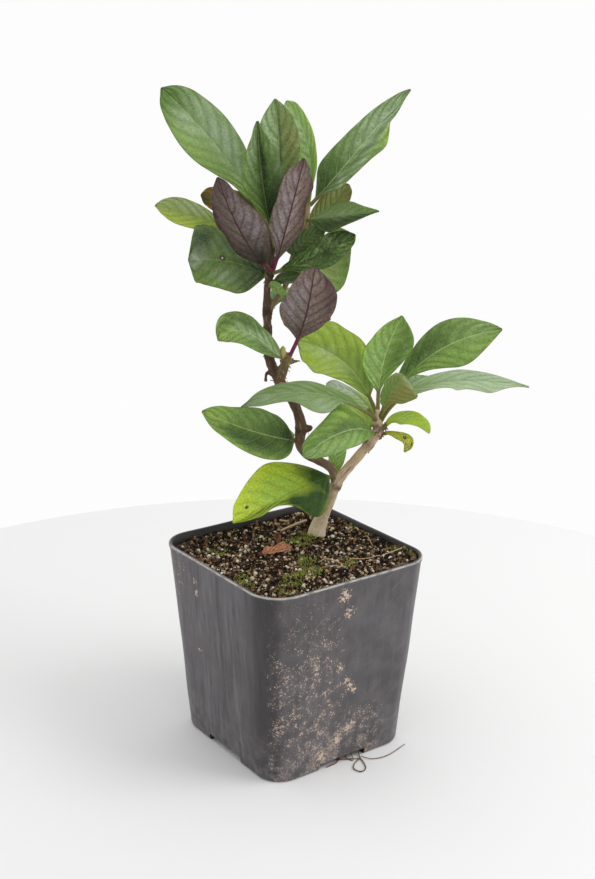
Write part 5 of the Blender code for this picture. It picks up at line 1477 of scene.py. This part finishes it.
def blade_material(name, kind, colours, underside, shade):
    """A leaf face's material: four tones, veins, a fine net, a darker margin and dead spots."""
    tones = {key: tuple(min(1.0, c * shade) for c in getattr(colours, kind[key]))
             for key in ("main", "pale", "deep", "warm", "vein")}
    paint = Paint(name, tones["main"], kind["rough"], 0.4)
    across, along, phase = parts_of(attribute(paint.tree, "blade", "Vector"))
    span = attribute(paint.tree, "span", "Vector")
    tint = attribute(paint.tree, "tint", "Color")
    pale, deep, warm = channels_of(tint)
    spot = tint.of("Alpha")
    off = calc("ABSOLUTE", across)
    broad = cloud(paint.place, 170.0, 5.0)
    small = cloud(span, 900.0)
    near = calc("PINGPONG", phase + (cloud(span, 260.0, 2.0) - 0.5) * 0.3, 0.5)
    side_vein = ramp(near, 0.0, 0.045, 1.0, 0.0) * ramp(off, 0.3, 0.95, 1.0, 0.25)
    # Painted shade: creases beside each side vein are darkened; the same panel also gives the quilted relief
    panel = ramp(near, 0.04, 0.34, 1.0, 0.0) * ramp(broad, 0.3, 0.6, 0.3, 1.0)
    net = put(paint.tree, "ShaderNodeTexVoronoi", {"Vector": span, "Scale": 620.0},
              feature="DISTANCE_TO_EDGE")
    net = ramp(net, 0.0, 0.12, 1.0, 0.0)
    uneven = broad - 0.5
    push = uneven * (2.6 * kind["mottle"])
    # Pale and deep tints: the leaf's own tone, and on some leaves a painted highlight (pale) and painted
    # shade (deep)
    paint.lay(calc("ADD", pale, push, clamp=True), tones["pale"])
    paint.lay(calc("ADD", warm, push * ramp(warm, 0.0, 0.5), clamp=True), tones["warm"])
    paint.lay(calc("SUBTRACT", deep, push * 0.7, clamp=True), tones["deep"])
    paint.lay(panel * (0.8 * kind["panels"]), tones["deep"])
    paint.lay(ramp(small, 0.35, 0.75, 0.0, 0.75 * kind["mottle"]), tones["deep"])
    paint.lay(net * kind["net"], tones["vein"])
    paint.lay(side_vein * kind["veins"], tones["vein"])
    paint.lay(ramp(off, 0.0, 0.042, 1.0, 0.0) * min(1.0, kind["veins"] * 1.7), tones["vein"])
    paint.lay(ramp(off, 0.93, 1.0, 0.0, 0.35), colours.purple_dark)
    paint.lay(ramp(spot + uneven * 0.6, 0.3, 0.6), colours.spot)
    paint.lay(ramp(spot, 0.8, 0.9), colours.glare)
    paint.lay(ramp(along, 0.0, 0.05, 1.0, 0.0), getattr(colours, kind["stalk"]))
    paint.set({"Roughness": ramp(small, 0.2, 0.8, kind["rough"] - 0.07, kind["rough"] + 0.1),
               "Subsurface Weight": 0.12, "Subsurface Radius": (0.6, 1.0, 0.3),
               "Subsurface Scale": 0.6 * MM})
    # Veins stand up under the leaf and lie sunk in its upper face
    sunk = side_vein * 0.5 + net * 0.3
    height = sunk + panel * 0.7 if underside else 1.0 - sunk + panel * -0.7
    return paint.finished(height + cloud(paint.place, 300.0, 3.0) * 1.6 + small * 0.25)


def look_material(name, underside, colours, shade):
    # Each shade makes a lighter or darker copy of the look's material: own tone with painted light and shade
    label = f"leaf_{name}_{'under' if underside else 'upper'}_{shade:.2f}"
    return bpy.data.materials.get(label) or blade_material(label, LOOKS[name], colours, underside, shade)


def add_leaf(form, context):
    colours = context.scene.honeysuckle_leaf_colours
    materials = [look_material(form["upper"], False, colours, form["shade"]),
                 look_material(form["under"], True, colours, form["shade"])]
    mesh = leaf_mesh(form, context.scene.honeysuckle_sizes, materials)
    slot = "leaf_purple" if form["under"] == "purple_under" else SLOT_OF_LOOK.get(form["upper"], "leaf_green")
    add_piece("blade_" + form["name"], mesh, slot, [form["name"]])


def add_leaves(context, *groups):
    for form in LEAVES:
        if form["name"].startswith(groups):
            add_leaf(form, context)
    return {"FINISHED"}


class HONEYSUCKLE_OT_crown_leaves(bpy.types.Operator):
    """Adds the leaves round the top of the tall shoot"""
    bl_idname = "honeysuckle.add_crown_leaves"
    bl_label = "Add crown leaves"

    def execute(self, context):
        return add_leaves(context, "leaf_crown")


class HONEYSUCKLE_OT_shoot_leaves(bpy.types.Operator):
    """Adds the leaves on the knuckle and low on the stem"""
    bl_idname = "honeysuckle.add_shoot_leaves"
    bl_label = "Add middle and low leaves"

    def execute(self, context):
        return add_leaves(context, "leaf_shoot", "leaf_low")


class HONEYSUCKLE_OT_rosette_leaves(bpy.types.Operator):
    """Adds the leaves round the tip of the short shoot"""
    bl_idname = "honeysuckle.add_rosette_leaves"
    bl_label = "Add rosette leaves"

    def execute(self, context):
        return add_leaves(context, "leaf_rosette")


class HONEYSUCKLE_OT_rear_leaves(bpy.types.Operator):
    """Adds the leaves on the plant's far side"""
    bl_idname = "honeysuckle.add_rear_leaves"
    bl_label = "Add rear leaves"

    def execute(self, context):
        return add_leaves(context, "leaf_rear")


# Where hairs stand: shares of the blade along, which are negative on the stalk, and across
HAIRY_STALK = (-0.3, 0.03)
HAIRY_MIDRIB = 0.04
HAIRY_TO = 0.5


class HONEYSUCKLE_OT_hairs(bpy.types.Operator):
    """Adds the short hairs on the leaves' stalks and midribs"""
    bl_idname = "honeysuckle.add_hairs"
    bl_label = "Add hairs"

    def execute(self, context):
        sizes = context.scene.honeysuckle_sizes
        colours = context.scene.honeysuckle_leaf_colours
        material = fibre_material("hair", colours.vein, colours.pale_under)
        tree = scatter_tree("hairs", HAIR, standing=True)
        tufts = []
        for form in LEAVES:
            ground = bpy.data.objects["blade_" + form["name"]].data.copy()
            blade = np.empty(len(ground.vertices) * 3, np.float32)
            ground.attributes["blade"].data.foreach_get("vector", blade)
            across, along, _ = blade.reshape(-1, 3).T
            stalk = (along < HAIRY_STALK[1]) & (along > HAIRY_STALK[0])
            midrib = (np.abs(across) < HAIRY_MIDRIB) & (along < HAIRY_TO)
            store(ground, "open", "FLOAT", 1.0 * (stalk | midrib))
            tufts.append(scattered("hairs", ground, tree, sizes.hairs, sizes.seed, 0.25, 0.7, 0.05, material))
        mesh = joined_mesh("hairs", tufts, merge=False)
        mesh.materials.append(material)
        add_piece("hairs", mesh, "leaf_green", smooth=False)
        return {"FINISHED"}


def on_soil(right, away, up):
    """A place in the plant's frame whose height was counted from the soil."""
    x, y, _ = turned((right, away, 0.0))
    return right, away, soil_top(x, y) / MM + up


class HONEYSUCKLE_OT_dry_leaves(bpy.types.Operator):
    """Adds the dry leaves that lie on the soil"""
    bl_idname = "honeysuckle.add_dry_leaves"
    bl_label = "Add dry leaves"

    def execute(self, context):
        for form in DRY_LEAVES:
            add_leaf(dict(form, path=[on_soil(*place) for place in form["path"]]), context)
        return {"FINISHED"}


# Straws on the soil and fine roots under the pot: rows of right, away, height and radius. A straw's
# height is counted from the soil
STRAWS = [
    [(-6.5, 25.0, 1.4, 0.8), (0.0, 33.0, 1.8, 0.9), (5.5, 40.0, 1.2, 0.7)],
    [(10.5, -8.5, 0.8, 0.3), (14.0, -8.0, 2.0, 0.35), (18.0, -11.0, 2.6, 0.35), (21.0, -16.5, 1.6, 0.3),
     (19.0, -19.0, 1.0, 0.3)],
    [(12.0, -14.0, 0.8, 0.3), (16.5, -17.0, 1.8, 0.35), (22.0, -17.5, 1.0, 0.3)],
    [(24.0, -7.5, 0.8, 0.35), (31.0, -5.0, 1.2, 0.4), (38.0, -3.0, 0.8, 0.3)],
    [(39.0, -4.0, 0.8, 0.4), (45.0, -1.0, 1.8, 0.45), (49.0, 1.5, 1.0, 0.35)],
    [(32.0, 18.0, 0.6, 0.3), (33.5, 14.0, 2.2, 0.35), (35.5, 10.5, 0.8, 0.3)],
    [(-3.0, 38.0, 1.0, 0.7), (-7.0, 41.0, 1.2, 0.8)],
]
ROOTS = [
    [(27.0, -19.0, 2.4, 0.25), (21.0, -27.0, 0.6, 0.3), (19.5, -31.0, 0.4, 0.3), (15.0, -35.0, 0.4, 0.25)],
    [(15.0, -27.5, 1.2, 0.2), (19.0, -28.0, 0.5, 0.25), (22.0, -28.5, 0.5, 0.25), (26.0, -28.0, 0.6, 0.2),
     (30.0, -27.5, 0.5, 0.2)],
    [(29.5, -21.0, 2.4, 0.3), (29.9, -26.0, 0.6, 0.3), (31.6, -31.0, 0.5, 0.28), (32.2, -36.0, 0.5, 0.26),
     (29.8, -38.4, 0.5, 0.26), (27.0, -36.0, 0.5, 0.26), (27.6, -31.5, 0.5, 0.26), (30.2, -27.8, 1.0, 0.24)],
    [(30.5, -26.0, 0.7, 0.18), (36.0, -27.5, 0.4, 0.18), (43.0, -24.0, 0.4, 0.2), (51.1, -14.5, 0.4, 0.16)],
    [(23.5, -22.5, 2.0, 0.2), (24.0, -27.0, 0.5, 0.22), (27.0, -29.0, 0.5, 0.2), (26.0, -24.0, 1.4, 0.2)],
]
STRAW_LIFT = 0.8
STRAW_THIN = 0.65


def fibre_material(name, base, dark):
    paint = Paint(name, base, 0.8)
    streak = cloud(paint.place, 700.0)
    paint.lay(ramp(streak, 0.4, 0.65), dark)
    return paint.finished(streak, 0.1)


class HONEYSUCKLE_OT_fibres(bpy.types.Operator):
    """Adds the dry straws on the soil and the fine roots that come out under the pot"""
    bl_idname = "honeysuckle.add_fibres"
    bl_label = "Add straws and roots"

    def execute(self, context):
        colours = context.scene.honeysuckle_wood_colours
        laid = [[(*on_soil(right, away, up * STRAW_LIFT), radius * STRAW_THIN)
                 for right, away, up, radius in rows] for rows in STRAWS]
        for name, lines, base, dark, slot in (("straw", laid, colours.straw, colours.bark_red, "dry_leaf"),
                                              ("root", ROOTS, colours.root, colours.bark_dark, "bark")):
            mesh = joined_mesh(name + "s", [tube_mesh(name, rows, 0.6, 1) for rows in lines])
            mesh.materials.append(fibre_material(name, base, dark))
            add_piece(name + "s", mesh, slot)
        return {"FINISHED"}


# Stage

CAMERA_AT = (-314.15, -432.81, 301.72)
CAMERA_AIM = (9.91, 12.06, 135.31)
CAMERA_ROLL = math.radians(0.58)
CAMERA_LENS = 52.75
FLOOR_RADIUS = 0.32
LAMP_AT = (700.0, -150.0, 850.0)
LAMP_AIM = (0.0, 0.0, 140.0)


def facing_turn(place, aim):
    """How a lamp or a camera turns to look from one place at another."""
    return (aim - place).to_track_quat("-Z", "Y")


class HONEYSUCKLE_OT_stage(bpy.types.Operator):
    """Adds the floor, the light and the camera"""
    bl_idname = "honeysuckle.add_stage"
    bl_label = "Add stage"

    def execute(self, context):
        scene = context.scene
        bpy.ops.mesh.primitive_circle_add(vertices=160, radius=FLOOR_RADIUS, fill_type="NGON")
        floor = context.object
        floor.name = "floor"
        floor.data.materials.append(Paint("floor", display(246, 246, 246), 0.9, 0.1).finished())
        scene.world = bpy.data.worlds.new("studio")
        scene.world.use_nodes = True
        self.light_room(scene.world.node_tree)
        light = bpy.data.lights.new("key", "AREA")
        light.size = 0.5
        light.energy = 3.2
        lamp = linked("key", light)
        lamp.location = turned(LAMP_AT)
        lamp.rotation_euler = facing_turn(lamp.location, Vector(LAMP_AIM) * MM).to_euler()
        lens = bpy.data.cameras.new("camera")
        lens.lens = CAMERA_LENS
        lens.clip_start = 0.01
        scene.camera = linked("camera", lens)
        place, aim = Vector(CAMERA_AT) * MM, Vector(CAMERA_AIM) * MM
        turn = facing_turn(place, aim).to_matrix() @ Matrix.Rotation(CAMERA_ROLL, 3, "Z")
        scene.camera.matrix_world = Matrix.Translation(place) @ turn.to_4x4()
        scene.view_settings.view_transform = "Standard"
        return {"FINISHED"}

    def light_room(self, tree):
        """White all round, dimmer overhead and dimmest behind the camera, as in a pale room."""
        way = put(tree, "ShaderNodeTexCoord", out="Generated")
        away = (-math.sin(PLANT_TURN), math.cos(PLANT_TURN), 0.0)
        front = vectors("DOT_PRODUCT", way, away, "Value")
        up = parts_of(way)[2]
        dim = ramp(front, -0.9, -0.25, 1.0, 0.0) * ramp(up, 0.3, 0.75, 1.0, 0.0)
        fill(tree, tree.nodes["Background"], {"Strength": ramp(up, 0.1, 0.6, 0.985, 0.86) - dim * 0.45,
                                              "Color": solid((1.0, 1.0, 1.0))})


class HONEYSUCKLE_PT_panel(bpy.types.Panel):
    """Lists the steps that dress the potted honeysuckle"""
    bl_idname = "HONEYSUCKLE_PT_panel"
    bl_label = "Potted honeysuckle"
    bl_space_type = "VIEW_3D"
    bl_region_type = "UI"
    bl_category = "Honeysuckle"

    def draw(self, context):
        for operator in OPERATORS:
            self.layout.operator(operator.bl_idname)
        sizes = context.scene.honeysuckle_sizes
        for key in sizes.__annotations__:
            self.layout.prop(sizes, key)


OPERATORS = (
    HONEYSUCKLE_OT_stage,
    HONEYSUCKLE_OT_pot,
    HONEYSUCKLE_OT_soil,
    HONEYSUCKLE_OT_moss,
    HONEYSUCKLE_OT_stem,
    HONEYSUCKLE_OT_crown_leaves,
    HONEYSUCKLE_OT_shoot_leaves,
    HONEYSUCKLE_OT_rosette_leaves,
    HONEYSUCKLE_OT_rear_leaves,
    HONEYSUCKLE_OT_hairs,
    HONEYSUCKLE_OT_dry_leaves,
    HONEYSUCKLE_OT_fibres,
)
GROUPS = {
    "honeysuckle_leaf_colours": HoneysuckleLeafColours,
    "honeysuckle_wood_colours": HoneysuckleWoodColours,
    "honeysuckle_pot_colours": HoneysucklePotColours,
    "honeysuckle_sizes": HoneysuckleSizes,
}


def register():
    for group in (*GROUPS.values(), *OPERATORS, HONEYSUCKLE_PT_panel):
        bpy.utils.register_class(group)
    for name, group in GROUPS.items():
        setattr(bpy.types.Scene, name, PointerProperty(type=group))


def unregister():
    for name in GROUPS:
        delattr(bpy.types.Scene, name)
    for group in (HONEYSUCKLE_PT_panel, *reversed(OPERATORS), *GROUPS.values()):
        bpy.utils.unregister_class(group)


def main():
    register()
    for operator in OPERATORS:
        call = operator.bl_idname.split(".")[1]
        getattr(bpy.ops.honeysuckle, call)()
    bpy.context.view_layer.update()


if __name__ == "__main__":
    main()
